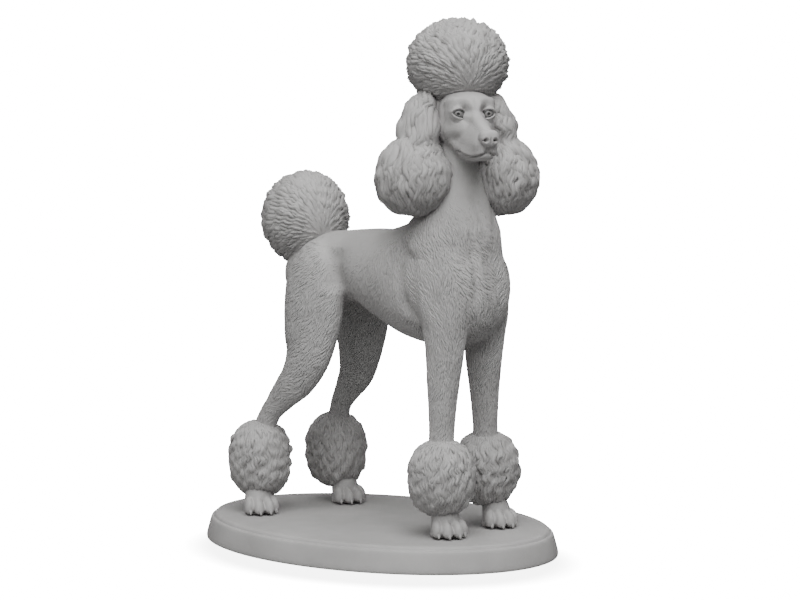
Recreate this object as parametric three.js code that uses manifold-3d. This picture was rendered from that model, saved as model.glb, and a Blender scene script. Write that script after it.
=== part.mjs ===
// A standing standard poodle in show trim on an oval plinth: a cast statuette in one grey resin.
// Millimetres, +Z up. The dog faces -Y, its left side is +X, and the origin is the middle of the plinth's
// underside.
import * as THREE from "three";
import { mergeVertices } from "three/addons/utils/BufferGeometryUtils.js";
import { ConvexHull } from "three/addons/math/ConvexHull.js";
import Module from "manifold-3d";

const wasm = await Module();
wasm.setup();

// Driving dimensions
const PLINTH_HALF_LENGTH = 100;
const PLINTH_HALF_WIDTH = 72;
const PLINTH_TOP = 12.8;
const GAP = 0.3; // between the faces of two pieces that meet
const SOLE = PLINTH_TOP + GAP; // the level on which the paws stand
const HEAD_YAW = THREE.MathUtils.degToRad(-32); // the head looks over the right shoulder of the statuette
const HEAD_PIVOT = new THREE.Vector3(0, -56, 0); // the neck's axis, about which the head is turned
const RESIN_GREY = 0xa6a5a4;
const X_AXIS = new THREE.Vector3(1, 0, 0);
const Z_AXIS = new THREE.Vector3(0, 0, 1);

const statuette = new THREE.Group();

// Solids and meshes

function signedVolume(positions, index) {
  let sum = 0;
  const a = new THREE.Vector3();
  const b = new THREE.Vector3();
  const c = new THREE.Vector3();
  for (let i = 0; i < index.length; i += 3) {
    a.fromArray(positions, 3 * index[i]);
    b.fromArray(positions, 3 * index[i + 1]);
    c.fromArray(positions, 3 * index[i + 2]);
    sum += a.dot(b.cross(c)) / 6;
  }
  return sum;
}

// A closed surface as a solid, whichever way round its faces were listed.
function solidFrom(points, faces) {
  const geometry = new THREE.BufferGeometry();
  geometry.setAttribute("position", new THREE.BufferAttribute(new Float32Array(points), 3));
  geometry.setIndex(faces);
  const merged = mergeVertices(geometry, 1e-4);
  const positions = merged.attributes.position.array;
  const index = [];
  for (let i = 0; i < merged.index.count; i += 3) {
    const [a, b, c] = merged.index.array.slice(i, i + 3);
    if (a !== b && b !== c && c !== a) index.push(a, b, c);
  }
  if (signedVolume(positions, index) < 0) index.reverse();
  return new wasm.Manifold(
    new wasm.Mesh({ numProp: 3, vertProperties: positions, triVerts: new Uint32Array(index) }),
  );
}

function solidOfGeometry(geometry) {
  const bare = geometry.clone();
  bare.deleteAttribute("normal");
  bare.deleteAttribute("uv");
  const merged = mergeVertices(bare, 1e-4);
  return solidFrom(Array.from(merged.attributes.position.array), Array.from(merged.index.array));
}

const join = (solids) => solids.reduce((all, next) => all.add(next));
const cut = (solid, ...tools) => tools.flat().reduce((left, tool) => left.subtract(tool), solid);
const place = (solid, matrix) => solid.transform(matrix.elements);

function largest(solid) {
  return solid.decompose().sort((a, b) => b.volume() - a.volume())[0];
}

function addPiece(name, solid) {
  const made = largest(solid).getMesh();
  const geometry = new THREE.BufferGeometry();
  const positions = new Float32Array(made.numVert * 3);
  for (let i = 0; i < made.numVert; i++) {
    positions.set(made.vertProperties.subarray(i * made.numProp, i * made.numProp + 3), 3 * i);
  }
  geometry.setAttribute("position", new THREE.BufferAttribute(positions, 3));
  geometry.setIndex(Array.from(made.triVerts));
  const resin = new THREE.MeshStandardMaterial({ color: RESIN_GREY, roughness: 0.62, metalness: 0 });
  const mesh = new THREE.Mesh(geometry, resin);
  mesh.name = name;
  statuette.add(mesh);
}

// Lofts: oval sections carried along a smooth spine

// A cubic through evenly numbered values, flat at both ends of the list.
function smoothAt(values, t) {
  const last = values.length - 1;
  const i = Math.min(Math.floor(t), last - 1);
  const f = t - i;
  const at = (k) => values[Math.max(0, Math.min(last, k))];
  const slope0 = (at(i + 1) - at(i - 1)) / 2;
  const slope1 = (at(i + 2) - at(i)) / 2;
  const f2 = f * f;
  const f3 = f2 * f;
  const byValue = (2 * f3 - 3 * f2 + 1) * at(i) + (3 * f2 - 2 * f3) * at(i + 1);
  const bySlope = (f3 - 2 * f2 + f) * slope0 + (f3 - f2) * slope1;
  return byValue + bySlope;
}

// Stations are [x, y, z, half width, half depth]. The squares of the half sizes are blended, which rounds an
// end of size 0. A boxy power below 1 squares the oval, and taper narrows the side that the depth points to.
function loft(stations, options = {}) {
  const { sides = 16, steps = 2, grow = 0, lateral = X_AXIS, ripple = null, boxy = 1, taper = 0 } = options;
  const last = stations.length - 1;
  const column = (k) => stations.map((s) => s[k]);
  const centre = (t) => new THREE.Vector3(...[0, 1, 2].map((k) => smoothAt(column(k), t)));
  const half = (k, t) => {
    const i = Math.min(Math.floor(t), last - 1);
    const squares = column(k).map((v) => v * v);
    const endSpan = i === 0 || i === last - 1;
    const straight = squares[i] + (squares[i + 1] - squares[i]) * (t - i);
    return Math.sqrt(Math.max(0, endSpan ? straight : smoothAt(squares, t)));
  };
  const ts = [];
  for (let i = 0; i < last; i++) {
    for (let k = 0; k < steps; k++) {
      const f = k / steps;
      if (i === 0) ts.push(f * f);
      else if (i === last - 1) ts.push(i + 1 - (1 - f) * (1 - f));
      else ts.push(i + f);
    }
  }
  ts.push(last);
  const points = [];
  const faces = [];
  ts.forEach((t) => {
    const here = centre(t);
    const tangent = centre(Math.min(last, t + 0.02)).sub(centre(Math.max(0, t - 0.02))).normalize();
    const across = lateral.clone().addScaledVector(tangent, -lateral.dot(tangent)).normalize();
    const deep = new THREE.Vector3().crossVectors(tangent, across);
    const atEnd = t === 0 ? -1 : t === last ? 1 : 0;
    const width = half(3, t);
    const depth = half(4, t);
    for (let j = 0; j < sides; j++) {
      const angle = (2 * Math.PI * j) / sides;
      const swell = ripple && !atEnd ? ripple(t / last, angle) : 0;
      const c = Math.sign(Math.cos(angle)) * Math.abs(Math.cos(angle)) ** boxy;
      const s = Math.sign(Math.sin(angle)) * Math.abs(Math.sin(angle)) ** boxy;
      const outward = new THREE.Vector3().addScaledVector(across, c).addScaledVector(deep, s).normalize();
      const p = here.clone();
      p.addScaledVector(across, width * c * (1 - taper * s));
      p.addScaledVector(deep, depth * s);
      if (atEnd) p.addScaledVector(tangent, atEnd * grow);
      else p.addScaledVector(outward, swell + grow);
      points.push(p.x, p.y, p.z);
    }
  });
  for (let i = 0; i < ts.length - 1; i++) {
    for (let j = 0; j < sides; j++) {
      const a = i * sides + j;
      const b = i * sides + ((j + 1) % sides);
      faces.push(a, b, b + sides, a, b + sides, a + sides);
    }
  }
  return solidFrom(points, faces);
}

function ellipsoid(centre, radii, { sides = 14, rings = 9, grow = 0, turn = null } = {}) {
  const geometry = new THREE.SphereGeometry(1, sides, rings);
  geometry.scale(radii[0] + grow, radii[1] + grow, radii[2] + grow);
  if (turn) geometry.applyMatrix4(turn);
  geometry.translate(...centre);
  return solidOfGeometry(geometry);
}

// Balls of curls: the coat lies from a root pole to the far pole in staggered rows of clumps

function seeded(seed) {
  let state = seed;
  return () => {
    state = (state * 16807) % 2147483647;
    return state / 2147483647;
  };
}

// Clump centres: rows a clump's length apart, each with as many clumps as fit round it.
function clumpCentres(clumpLength, clumpWidth, radius, random) {
  const centres = [new THREE.Vector3(0, 0, 1)];
  const rows = Math.max(4, Math.round((Math.PI * radius) / clumpLength));
  for (let i = 1; i < rows; i++) {
    const polar = (Math.PI * i) / rows;
    const count = Math.max(4, Math.round((2 * Math.PI * radius * Math.sin(polar)) / clumpWidth));
    for (let j = 0; j < count; j++) {
      const turn = (2 * Math.PI * (j + 0.5 * (i % 2) + 0.4 * (random() - 0.5))) / count;
      const tilt = polar + ((random() - 0.5) * 0.5 * Math.PI) / rows;
      const upright = new THREE.Vector3().setFromSphericalCoords(1, tilt, turn);
      centres.push(upright.applyAxisAngle(X_AXIS, Math.PI / 2));
    }
  }
  centres.push(new THREE.Vector3(0, 0, -1));
  return centres;
}

// ball: {centre, radii, root (direction the coat grows from), clumpLength, clumpWidth, relief, seed, base}
function curlyBall(ball, grow = 0) {
  const { centre, radii, root, relief } = ball;
  const random = seeded(ball.seed);
  const mean = (radii[0] + radii[1] + radii[2]) / 3;
  const turn = new THREE.Quaternion().setFromUnitVectors(Z_AXIS, root.clone().normalize());
  const centres = clumpCentres(ball.clumpLength, ball.clumpWidth, mean, random);
  const hull = new ConvexHull().setFromPoints(centres);
  const cells = new Map(centres.map((c) => [c, []]));
  for (const face of hull.faces) {
    const corners = [0, 1, 2].map((k) => face.getEdge(k).head().point);
    const valley = corners.reduce((sum, c) => sum.add(c), new THREE.Vector3()).normalize();
    corners.forEach((c) => cells.get(c).push(valley));
  }
  const points = [];
  const faces = [];
  const known = new Map();
  const vertex = (direction, height) => {
    const d = direction.clone().applyQuaternion(turn);
    const reach = 1 / Math.hypot(d.x / radii[0], d.y / radii[1], d.z / radii[2]);
    const p = d.multiplyScalar(reach + height + grow);
    points.push(centre[0] + p.x, centre[1] + p.y, centre[2] + p.z);
    return points.length / 3 - 1;
  };
  for (const [middle, valleys] of cells) {
    const pull = new THREE.Vector3(0, 0, -1).addScaledVector(middle, middle.z);
    const crest = middle.clone().addScaledVector(pull, (0.2 * ball.clumpLength) / mean).normalize();
    const side = new THREE.Vector3().crossVectors(middle, valleys[0]).normalize();
    const front = new THREE.Vector3().crossVectors(side, middle);
    const bearing = (v) => Math.atan2(v.dot(side), v.dot(front));
    const ring = [...valleys].sort((a, b) => bearing(a) - bearing(b));
    const height = relief * (0.35 + 0.3 * random());
    const top = vertex(crest, height);
    const outer = ring.map((v) => {
      if (!known.has(v)) known.set(v, vertex(v, -relief * 0.5));
      return known.get(v);
    });
    const inner = ring.map((v) => vertex(v.clone().lerp(crest, 0.42).normalize(), height - relief * 0.16));
    ring.forEach((_, k) => {
      const n = (k + 1) % ring.length;
      faces.push(top, inner[k], inner[n], inner[k], outer[k], outer[n], inner[k], outer[n], inner[n]);
    });
  }
  return solidFrom(points, faces);
}

// Plinth: an oval slab with sloping sides, a small ledge and a raised top

function plinth() {
  const profile = [
    [0, 0],
    [1, 0],
    [1, 1.6],
    [0.967, 10.2],
    [0.956, 10.9],
    [0.944, 10.9],
    [0.934, 12.2],
    [0.92, PLINTH_TOP],
    [0, PLINTH_TOP],
  ];
  const outline = profile.map(([share, z]) => new THREE.Vector2(share * PLINTH_HALF_WIDTH, z));
  const geometry = new THREE.LatheGeometry(outline, 44);
  geometry.rotateX(Math.PI / 2);
  geometry.scale(1, PLINTH_HALF_LENGTH / PLINTH_HALF_WIDTH, 1);
  return solidOfGeometry(geometry);
}

// Trunk and neck

const TRUNK = [
  [0, -76.6, 136, 0, 0],
  [0, -73, 135.5, 15, 19],
  [0, -61, 134, 21.6, 28],
  [0, -44, 134, 22.6, 31.2],
  [0, -26, 134.8, 23.5, 29],
  [0, -11, 136.6, 22.6, 23.6],
  [0, 2, 139.2, 20.6, 19.8],
  [0, 16, 139.8, 19, 17.8],
  [0, 32, 138, 18.5, 17.8],
  [0, 45, 133.6, 16, 16.8],
  [0, 54, 130, 11, 12],
  [0, 57, 129, 0, 0],
];
const NECK = [
  [0, -42, 138, 0, 0],
  [0, -46.5, 146, 22, 27.6],
  [0, -50, 157, 21, 25.5],
  [0, -51.8, 168, 17, 20.2],
  [0, -53, 180, 13, 15],
  [0, -52.4, 192, 10.6, 11.8],
  [0, -50.6, 203, 8.6, 10.4],
  [0, -51, 212, 0, 0],
];
const torso = (grow = 0) => loft(TRUNK, { sides: 18, steps: 2, grow });
const neck = (grow = 0) => loft(NECK, { sides: 12, steps: 2, grow });

// Head: built looking along -Y over the pivot, then turned to the side

const headTurn = new THREE.Matrix4()
  .makeTranslation(HEAD_PIVOT.x, HEAD_PIVOT.y, 0)
  .multiply(new THREE.Matrix4().makeRotationZ(HEAD_YAW));
const turned = (solid) => place(solid, headTurn);

const CRANIUM = [
  [0, 15, 213, 0, 0],
  [0, 9, 214, 10, 9.5],
  [0, 0, 214.6, 12.8, 12],
  [0, -8, 214.6, 12.5, 11.6],
  [0, -13.5, 213.8, 10.6, 10.2],
  [0, -18.4, 212, 0, 0],
];
const MUZZLE = [
  [0, -3, 207, 0, 0],
  [0, -8, 206.4, 8.4, 8.2],
  [0, -18, 205.2, 7.4, 7.8],
  [0, -24, 204.2, 6.5, 8],
  [0, -31, 202.8, 5.6, 7.2],
  [0, -36, 202.4, 4.5, 5.6],
  [0, -38.6, 202, 0, 0],
];
const NOSE_BRIDGE = [
  [0, -8, 214, 0, 0],
  [0, -13, 213.8, 4.2, 3.8],
  [0, -18, 212.7, 3.8, 3.8],
  [0, -24, 210.5, 3.7, 3.7],
  [0, -31, 208, 3.4, 2.9],
  [0, -38, 205, 0, 0],
];
// Forms of the left half of the head; the right half mirrors them
const CHEEKBONE = [
  [9, 5, 210, 0, 0],
  [10.4, 1, 209.4, 3.2, 6],
  [10.2, -4, 208.8, 3.3, 6.2],
  [8.9, -9, 208.4, 3.2, 5.4],
  [6.9, -14, 208, 2.6, 4.2],
  [4.8, -20, 207.4, 0, 0],
];
const BROW = [
  [0, -15, 219.4, 0, 0],
  [3, -15.4, 220.2, 2.4, 2],
  [6.8, -14.2, 221, 2.8, 2.3],
  [9.8, -10.4, 220.8, 2.6, 2.4],
  [11, -4, 219, 0, 0],
];
const JAW_MUSCLE = [
  [8.4, 8, 209.6, 0, 0],
  [9.6, 4, 208.8, 3.4, 4.8],
  [9.2, -1, 207, 3.4, 5],
  [8.2, -7, 204.2, 3, 4.4],
  [5.8, -14, 202, 0, 0],
];
const LIP = [
  [1.2, -37.2, 199.4, 0, 0],
  [4.4, -31, 198.1, 1.5, 2.3],
  [5.5, -24, 198.4, 1.6, 2.5],
  [7.2, -13, 200.2, 1.8, 3],
  [6.2, -5, 202.6, 0, 0],
];
const LOWER_JAW = [
  [0, 6, 208, 0, 0],
  [0, 0, 205, 8.8, 5.4],
  [0, -7, 200.6, 8.2, 5],
  [0, -14, 197.3, 7, 4.2],
  [0, -22, 196.6, 5.7, 3.3],
  [0, -30, 196.2, 4.6, 2.7],
  [0, -35, 196.4, 3.5, 2],
  [0, -37.2, 196.9, 0, 0],
];
const EYE = { centre: [7.3, -12.8, 215.5], radius: 3.6, outward: THREE.MathUtils.degToRad(6) };
const LID_OPENING = [3.6, 2.1]; // half width and half height between the lids
const LID_THICKNESS = 0.8;
const NOSE = { centre: [0, -37.8, 204.2], radii: [4.8, 3.9, 4] };
const NOSTRIL = { centre: [2.3, -41.6, 203.6], radii: [0.95, 2.2, 1.15] };

const onSide = (stations, side) => stations.map(([x, ...rest]) => [side * x, ...rest]);

function skull(grow = 0) {
  const forms = [
    loft(CRANIUM, { sides: 20, steps: 2, grow, boxy: 0.82 }),
    loft(MUZZLE, { sides: 14, steps: 1, grow, boxy: 0.9, taper: 0.3 }),
    loft(NOSE_BRIDGE, { sides: 10, steps: 1, grow, boxy: 0.9 }),
  ];
  for (const side of [-1, 1]) {
    forms.push(loft(onSide(CHEEKBONE, side), { sides: 10, steps: 1, grow }));
    forms.push(loft(onSide(BROW, side), { sides: 8, steps: 1, grow, lateral: Z_AXIS }));
    forms.push(loft(onSide(JAW_MUSCLE, side), { sides: 8, steps: 1, grow }));
    forms.push(loft(onSide(LIP, side), { sides: 6, steps: 1, grow }));
  }
  return turned(join(forms));
}

// Each pair of lids is an almond ring that lies on the eyeball, set across the way that the eye looks.
function lids() {
  const rims = [-1, 1].map((side) => {
    const rim = new THREE.TorusGeometry(1, LID_THICKNESS / LID_OPENING[0], 5, 12);
    rim.scale(LID_OPENING[0], LID_OPENING[1], LID_OPENING[0]);
    const position = rim.attributes.position;
    for (let i = 0; i < position.count; i++) {
      const round = Math.atan2(position.getY(i) / LID_OPENING[1], position.getX(i) / LID_OPENING[0]);
      const away = Math.hypot(LID_OPENING[0] * Math.cos(round), LID_OPENING[1] * Math.sin(round));
      position.setZ(i, position.getZ(i) + Math.sqrt(Math.max(0, EYE.radius ** 2 - away ** 2)));
    }
    rim.rotateX(Math.PI / 2);
    rim.rotateZ(side * EYE.outward);
    rim.translate(side * EYE.centre[0], EYE.centre[1], EYE.centre[2]);
    return solidOfGeometry(rim);
  });
  return turned(join(rims));
}

function eye(side, grow = 0) {
  const at = [side * EYE.centre[0], EYE.centre[1], EYE.centre[2]];
  return turned(ellipsoid(at, [EYE.radius, EYE.radius, EYE.radius], { sides: 10, rings: 7, grow }));
}

function nose(grow = 0) {
  return turned(ellipsoid(NOSE.centre, NOSE.radii, { sides: 12, rings: 8, grow }));
}

function nostrils() {
  const [x, y, z] = NOSTRIL.centre;
  const holes = [-1, 1].map((side) => ellipsoid([side * x, y, z], NOSTRIL.radii, { sides: 8, rings: 6 }));
  return turned(join(holes));
}

const lowerJaw = (grow = 0) => turned(loft(LOWER_JAW, { sides: 12, steps: 1, grow, boxy: 0.85 }));

// Ears: a hanging lap of wavy hair that ends in a ball

const EAR = [
  [9, 6.6, 226.5, 0, 0],
  [15.2, 6.6, 222, 5.6, 8],
  [17.8, 6.4, 215.5, 7.8, 10],
  [19.2, 5.2, 208, 9.2, 11.4],
  [20.3, 4.2, 200, 9.4, 11.4],
  [21.2, 3.8, 193, 8, 10],
  [21.6, 3.6, 186, 0, 0],
];
const EAR_WAVES = { height: 0.8, count: 5, twist: 3, wander: 6 }; // mm, round the ear, and how far they sway
const EAR_BALL = { centre: [21.8, 3.5, 184.6], radii: [18.7, 18.2, 17.1] };
const EAR_SWAY = -2.2; // both ears hang a little to the right of the head

function ear(side, grow = 0) {
  const stations = onSide(EAR, side).map(([x, ...rest]) => [x + EAR_SWAY, ...rest]);
  const { height, count, twist, wander } = EAR_WAVES;
  const ripple = (t, angle) => height * Math.cos(count * angle + side * twist * Math.sin(wander * t));
  return turned(loft(stations, { sides: 18, steps: 2, grow, ripple }));
}

function earBall(side, grow = 0) {
  const [x, y, z] = EAR_BALL.centre;
  const spec = {
    centre: [side * x + EAR_SWAY, y, z],
    radii: EAR_BALL.radii,
    root: Z_AXIS,
    clumpLength: 11,
    clumpWidth: 8,
    relief: 2,
    seed: side > 0 ? 11 : 23,
  };
  return turned(curlyBall(spec, grow));
}

function topknot(grow = 0) {
  const spec = {
    centre: [0, 10.5, 240.2],
    radii: [24.6, 24.6, 20.8],
    root: new THREE.Vector3(0, -0.75, -0.66),
    clumpLength: 12.6,
    clumpWidth: 9.4,
    relief: 2.2,
    seed: 5,
  };
  return turned(curlyBall(spec, grow));
}

// Tail

const TAIL = [
  [0, 38, 146, 0, 0],
  [0, 41, 150, 5, 5],
  [0, 46, 157, 4.6, 4.6],
  [0, 50, 165, 0, 0],
];
const TAIL_BALL = {
  centre: [0, 50.8, 162.6],
  radii: [21.7, 22.6, 23.7],
  root: new THREE.Vector3(0, -0.55, -0.83),
  clumpLength: 12.8,
  clumpWidth: 9.4,
  relief: 2.2,
  seed: 41,
};

// Legs

const FORE_LEG = [
  [10, -40, 160, 0, 0],
  [13, -46, 152, 7.5, 13],
  [14.6, -53, 138, 9.2, 17],
  [15.2, -56.5, 122, 9, 14.5],
  [15.6, -57, 108, 8.4, 11.2],
  [16, -56.5, 96, 7.9, 9.7],
  [17, -56.5, 80, 6.8, 7.6],
  [18, -56.5, 64, 6, 6.3],
  [18.6, -56.5, 53, 6, 6.2],
  [18.8, -56.5, 47, 0, 0],
];
const HIND_LEG = [
  [10, 31, 152, 0, 0],
  [13.5, 30, 145, 7.5, 11.2],
  [16.5, 28.5, 135, 9.8, 16.6],
  [18.4, 27.2, 121, 10.4, 18],
  [20, 27.4, 107, 10, 16.4],
  [21.5, 28.4, 95, 8.8, 13.4],
  [22.8, 33.9, 83, 7.8, 10.4],
  [23.8, 42.6, 73.5, 6.3, 7.6],
  [24.4, 50.5, 65, 5.2, 5.8],
  [24.8, 54.5, 57, 5, 5.6],
  [24.8, 56, 50, 0, 0],
];
const FORE_BALL_HALF = [15.4, 15.4, 19];
const HIND_BALL_HALF = [14.6, 15.2, 20.2];

// One entry for each leg: how far it shifts out, how far its knee and foot shift back, where its ball of coat
// and its paw are, and the degrees by which the paw is turned
const LEGS = [
  {
    name: "fore_left", side: 1, out: -1.3, knee: 0, foot: 1.5,
    ball: [19, -54.5, 42], paw: [19.5, -61.5], turn: -18, seed: 61,
  },
  {
    name: "fore_right", side: -1, out: 0, knee: -0.5, foot: -1.5,
    ball: [-19.2, -58.5, 42], paw: [-20, -62.5], turn: -24, seed: 67,
  },
  {
    name: "hind_left", side: 1, out: 0, knee: 4.4, foot: -5.5,
    ball: [24, 52.5, 40.8], paw: [23.5, 44.5], turn: -14, seed: 71,
  },
  {
    name: "hind_right", side: -1, out: 0, knee: 0, foot: 1.5,
    ball: [-26, 58.5, 40.8], paw: [-31.5, 53.5], turn: -24, seed: 73,
  },
];

function leg({ name, side, out, knee, foot }, grow = 0) {
  const stations = name.startsWith("fore") ? FORE_LEG : HIND_LEG;
  const moved = stations.map(([x, y, ...rest], i) => {
    const t = (2 * i) / (stations.length - 1);
    const shift = t < 1 ? knee * t : knee + (foot - knee) * (t - 1);
    return [side * (x + out), y + shift, ...rest];
  });
  return loft(moved, { sides: 10, steps: 2, grow });
}

function legBall({ name, ball, seed }, grow = 0) {
  const spec = {
    centre: ball,
    radii: name.startsWith("fore") ? FORE_BALL_HALF : HIND_BALL_HALF,
    root: new THREE.Vector3(0, 0, 1),
    clumpLength: 12.5,
    clumpWidth: 8.8,
    relief: 1.9,
    seed,
  };
  return curlyBall(spec, grow);
}

// Paw, built at the origin of its own frame with its toes along -Y and its sole at z = 0
const TOES = [
  { x: -6.9, tip: -4, half: 2.1 },
  { x: -2.75, tip: -7.5, half: 2.45 },
  { x: 2.75, tip: -7.5, half: 2.45 },
  { x: 6.9, tip: -4, half: 2.1 },
];
const PASTERN = [
  [0, 4, 21, 0, 0],
  [0, 3.8, 17, 5.9, 5.7],
  [0, 3.2, 12, 6.3, 6],
  [0, 1.6, 8.4, 7, 6.8],
  [0, 2, 0.4, 7.2, 5.4],
  [0, 2, -1, 0, 0],
];
const FOOTPRINT = [60, 60, 40]; // the space above the sole in which a paw is kept

const toe = ({ x, tip, half }) => [
  [x * 0.6, 3, 7.4, 0, 0],
  [x * 0.8, tip * 0.1, 6.8, 0.8 * half, 2.2],
  [x * 0.94, tip * 0.45, 6.1, 0.95 * half, 3.2],
  [x, tip * 0.84, 4.1, half, 3.5],
  [x, tip - 1.5, 1.2, 0, 0],
];
const claw = ({ x, tip }) => [
  [x, tip + 0.6, 3.6, 0, 0],
  [x, tip - 0.7, 3.3, 0.85, 1],
  [x, tip - 1.7, 2.3, 0.85, 0.9],
  [x, tip - 2.3, 0.4, 0, 0],
];

function paw({ paw: at, turn }, grow = 0) {
  const pieces = [loft(PASTERN, { sides: 10, steps: 1, grow })];
  for (const row of TOES) {
    pieces.push(loft(toe(row), { sides: 6, steps: 1, grow }));
    pieces.push(loft(claw(row), { sides: 4, steps: 1, grow }));
  }
  const footprint = new THREE.BoxGeometry(...FOOTPRINT);
  footprint.translate(0, 0, FOOTPRINT[2] / 2);
  const standing = join(pieces).intersect(solidOfGeometry(footprint));
  const stance = new THREE.Matrix4()
    .makeTranslation(at[0], at[1], SOLE)
    .multiply(new THREE.Matrix4().makeRotationZ(THREE.MathUtils.degToRad(turn)));
  return place(standing, stance);
}

// Assembly: each piece is cut clear of those that it grows from

const tail = (grow = 0) => loft(TAIL, { sides: 10, steps: 2, grow });
const headParts = [skull(GAP), lowerJaw(GAP)];
addPiece("plinth", plinth());
addPiece("torso", torso());
addPiece("neck", cut(neck(), torso(GAP), headParts));
addPiece("head", cut(skull().add(lids()), nose(GAP), eye(1, GAP), eye(-1, GAP)));
addPiece("lower_jaw", cut(lowerJaw(), skull(GAP)));
addPiece("nose", cut(nose(), nostrils()));
addPiece("topknot", cut(topknot(), headParts, neck(GAP)));
for (const [word, side] of [["left", 1], ["right", -1]]) {
  addPiece("eye_" + word, eye(side));
  addPiece("ear_" + word, cut(ear(side), headParts, topknot(GAP), neck(GAP), earBall(side, GAP)));
  addPiece("ear_ball_" + word, cut(earBall(side), headParts, neck(GAP), torso(GAP), nose(GAP)));
}
addPiece("tail", cut(tail(), torso(GAP)));
const hindLegs = LEGS.filter((spec) => spec.name.startsWith("hind")).map((spec) => leg(spec, GAP));
addPiece("tail_ball", cut(curlyBall(TAIL_BALL), torso(GAP), tail(GAP), hindLegs));
for (const spec of LEGS) {
  addPiece("leg_" + spec.name, cut(leg(spec), torso(GAP), neck(GAP)));
  addPiece("leg_ball_" + spec.name, cut(legBall(spec), leg(spec, GAP), paw(spec, GAP)));
  addPiece("paw_" + spec.name, paw(spec));
}

export default statuette;
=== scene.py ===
# %% [markdown]
# # A poodle statuette in grey cast resin
# The real object is a shelf figure: a standard poodle in show trim on an oval plinth, all cast in one matte
# grey resin. Everything the eye enjoys is carved relief, so the lesson is about shapes, and there is only
# one finish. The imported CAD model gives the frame: each new piece stands where its CAD nodes stand, and
# replaces them.

# %% Load the frame
import math
import bmesh
import bpy
import numpy as np
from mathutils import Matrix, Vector


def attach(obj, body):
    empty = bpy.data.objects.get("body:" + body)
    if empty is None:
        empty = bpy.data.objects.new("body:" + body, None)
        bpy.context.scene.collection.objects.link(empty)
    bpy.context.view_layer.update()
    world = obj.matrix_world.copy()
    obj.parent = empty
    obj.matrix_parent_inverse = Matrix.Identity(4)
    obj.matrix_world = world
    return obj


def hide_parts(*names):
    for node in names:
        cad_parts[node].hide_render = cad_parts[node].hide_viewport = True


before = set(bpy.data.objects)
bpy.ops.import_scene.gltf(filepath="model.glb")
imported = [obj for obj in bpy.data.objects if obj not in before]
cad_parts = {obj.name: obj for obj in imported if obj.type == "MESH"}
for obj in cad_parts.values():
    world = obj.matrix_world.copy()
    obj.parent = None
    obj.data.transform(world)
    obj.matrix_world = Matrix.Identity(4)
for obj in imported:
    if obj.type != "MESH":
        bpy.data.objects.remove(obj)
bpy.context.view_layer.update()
MM = 0.001  # shapes below are worked out in millimetres, and meshes are made in metres
SIDES = (-1, 1)  # the dog's right and left


def placed(name, data):
    """A new object of the scene that shows the mesh, camera or lamp."""
    made = bpy.data.objects.new(name, data)
    bpy.context.scene.collection.objects.link(made)
    return made


# %% [markdown]
# ## Camera
# The photograph looks slightly down at the right shoulder, from far away through a long lens, so lines
# hardly converge. The view is set up as a point to look at, two angles and a distance, all in real sizes.

# %% Camera
VIEW_AZIMUTH = -48.0  # degrees: 0 looks at the chest, and this is towards the dog's right side
VIEW_ELEVATION = 4.5
VIEW_DISTANCE = 1200.0
LENS = 108.0  # mm on a sensor 36 mm wide: 2400 pixels of focal length on an image 800 pixels wide
LOOK_AT_SIDE = 10.7  # the middle of the image is this far to the right of the plinth's axis, in mm
LOOK_AT_HEIGHT = 122.8


def towards(azimuth, elevation):
    """Direction from the statuette: x = sin a cos e, y = -cos a cos e, z = sin e."""
    a, e = math.radians(azimuth), math.radians(elevation)
    return Vector((math.sin(a) * math.cos(e), -math.cos(a) * math.cos(e), math.sin(e)))


to_camera = towards(VIEW_AZIMUTH, VIEW_ELEVATION)
image_right = towards(VIEW_AZIMUTH + 90, 0)
look_at = image_right * LOOK_AT_SIDE + Vector((0, 0, LOOK_AT_HEIGHT))
camera = placed("camera", bpy.data.cameras.new("camera"))
camera.data.lens = LENS
camera.data.sensor_width = 36.0
camera.data.clip_end = 20
camera.location = (look_at + to_camera * VIEW_DISTANCE) * MM
camera.rotation_euler = (-to_camera).to_track_quat("-Z", "Y").to_euler()
bpy.context.scene.camera = camera
print("camera at", [round(v, 3) for v in camera.location])

# %% [markdown]
# ## Colours and shader nodes
# A colour is written as the sRGB hex value that a paint chip would carry. Shaders want linear light, so one
# function converts it. A second small function adds a node with its settings and links, for every material.

# %% Colours and shader nodes
def linear(hex_colour):
    """sRGB to linear light: c / 12.92 near black, ((c + 0.055) / 1.055) ** 2.4 above."""
    srgb = np.array([int(hex_colour[i:i + 2], 16) / 255 for i in (1, 3, 5)])
    light = np.where(srgb <= 0.04045, srgb / 12.92, ((srgb + 0.055) / 1.055) ** 2.4)
    return (*light.tolist(), 1.0)


def node(tree, kind, inputs=(), links=(), **settings):
    """Adds one shader node: inputs are (socket, value), links are (socket, output socket of another node)."""
    made = tree.nodes.new(kind)
    for name, value in settings.items():
        setattr(made, name, value)
    for socket, value in inputs:
        made.inputs[socket].default_value = value
    for socket, source in links:
        tree.links.new(source, made.inputs[socket])
    return made


def empty_tree(owner):
    """The node tree of a material or world, with nothing in it."""
    owner.use_nodes = True
    owner.node_tree.nodes.clear()
    return owner.node_tree


# %% [markdown]
# ## Grey cast resin
# Polyurethane resin is poured into a rubber mould and left unpainted. It is dense and dull: no metal, an
# index of refraction near 1.5, a roughness of about 0.6, and a waxy glow that is too slight to need
# subsurface light. What the eye notices is a slight unevenness of the grey and a fine tooth left by the
# mould, with grains under a millimetre wide. The carved coat has a finer grain than the plinth, so the
# finish comes in a few variants of one recipe.

# %% Grey cast resin
RESIN_GREY = "#A9A8A7"
RESIN_SHADE = "#9B9A99"


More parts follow.
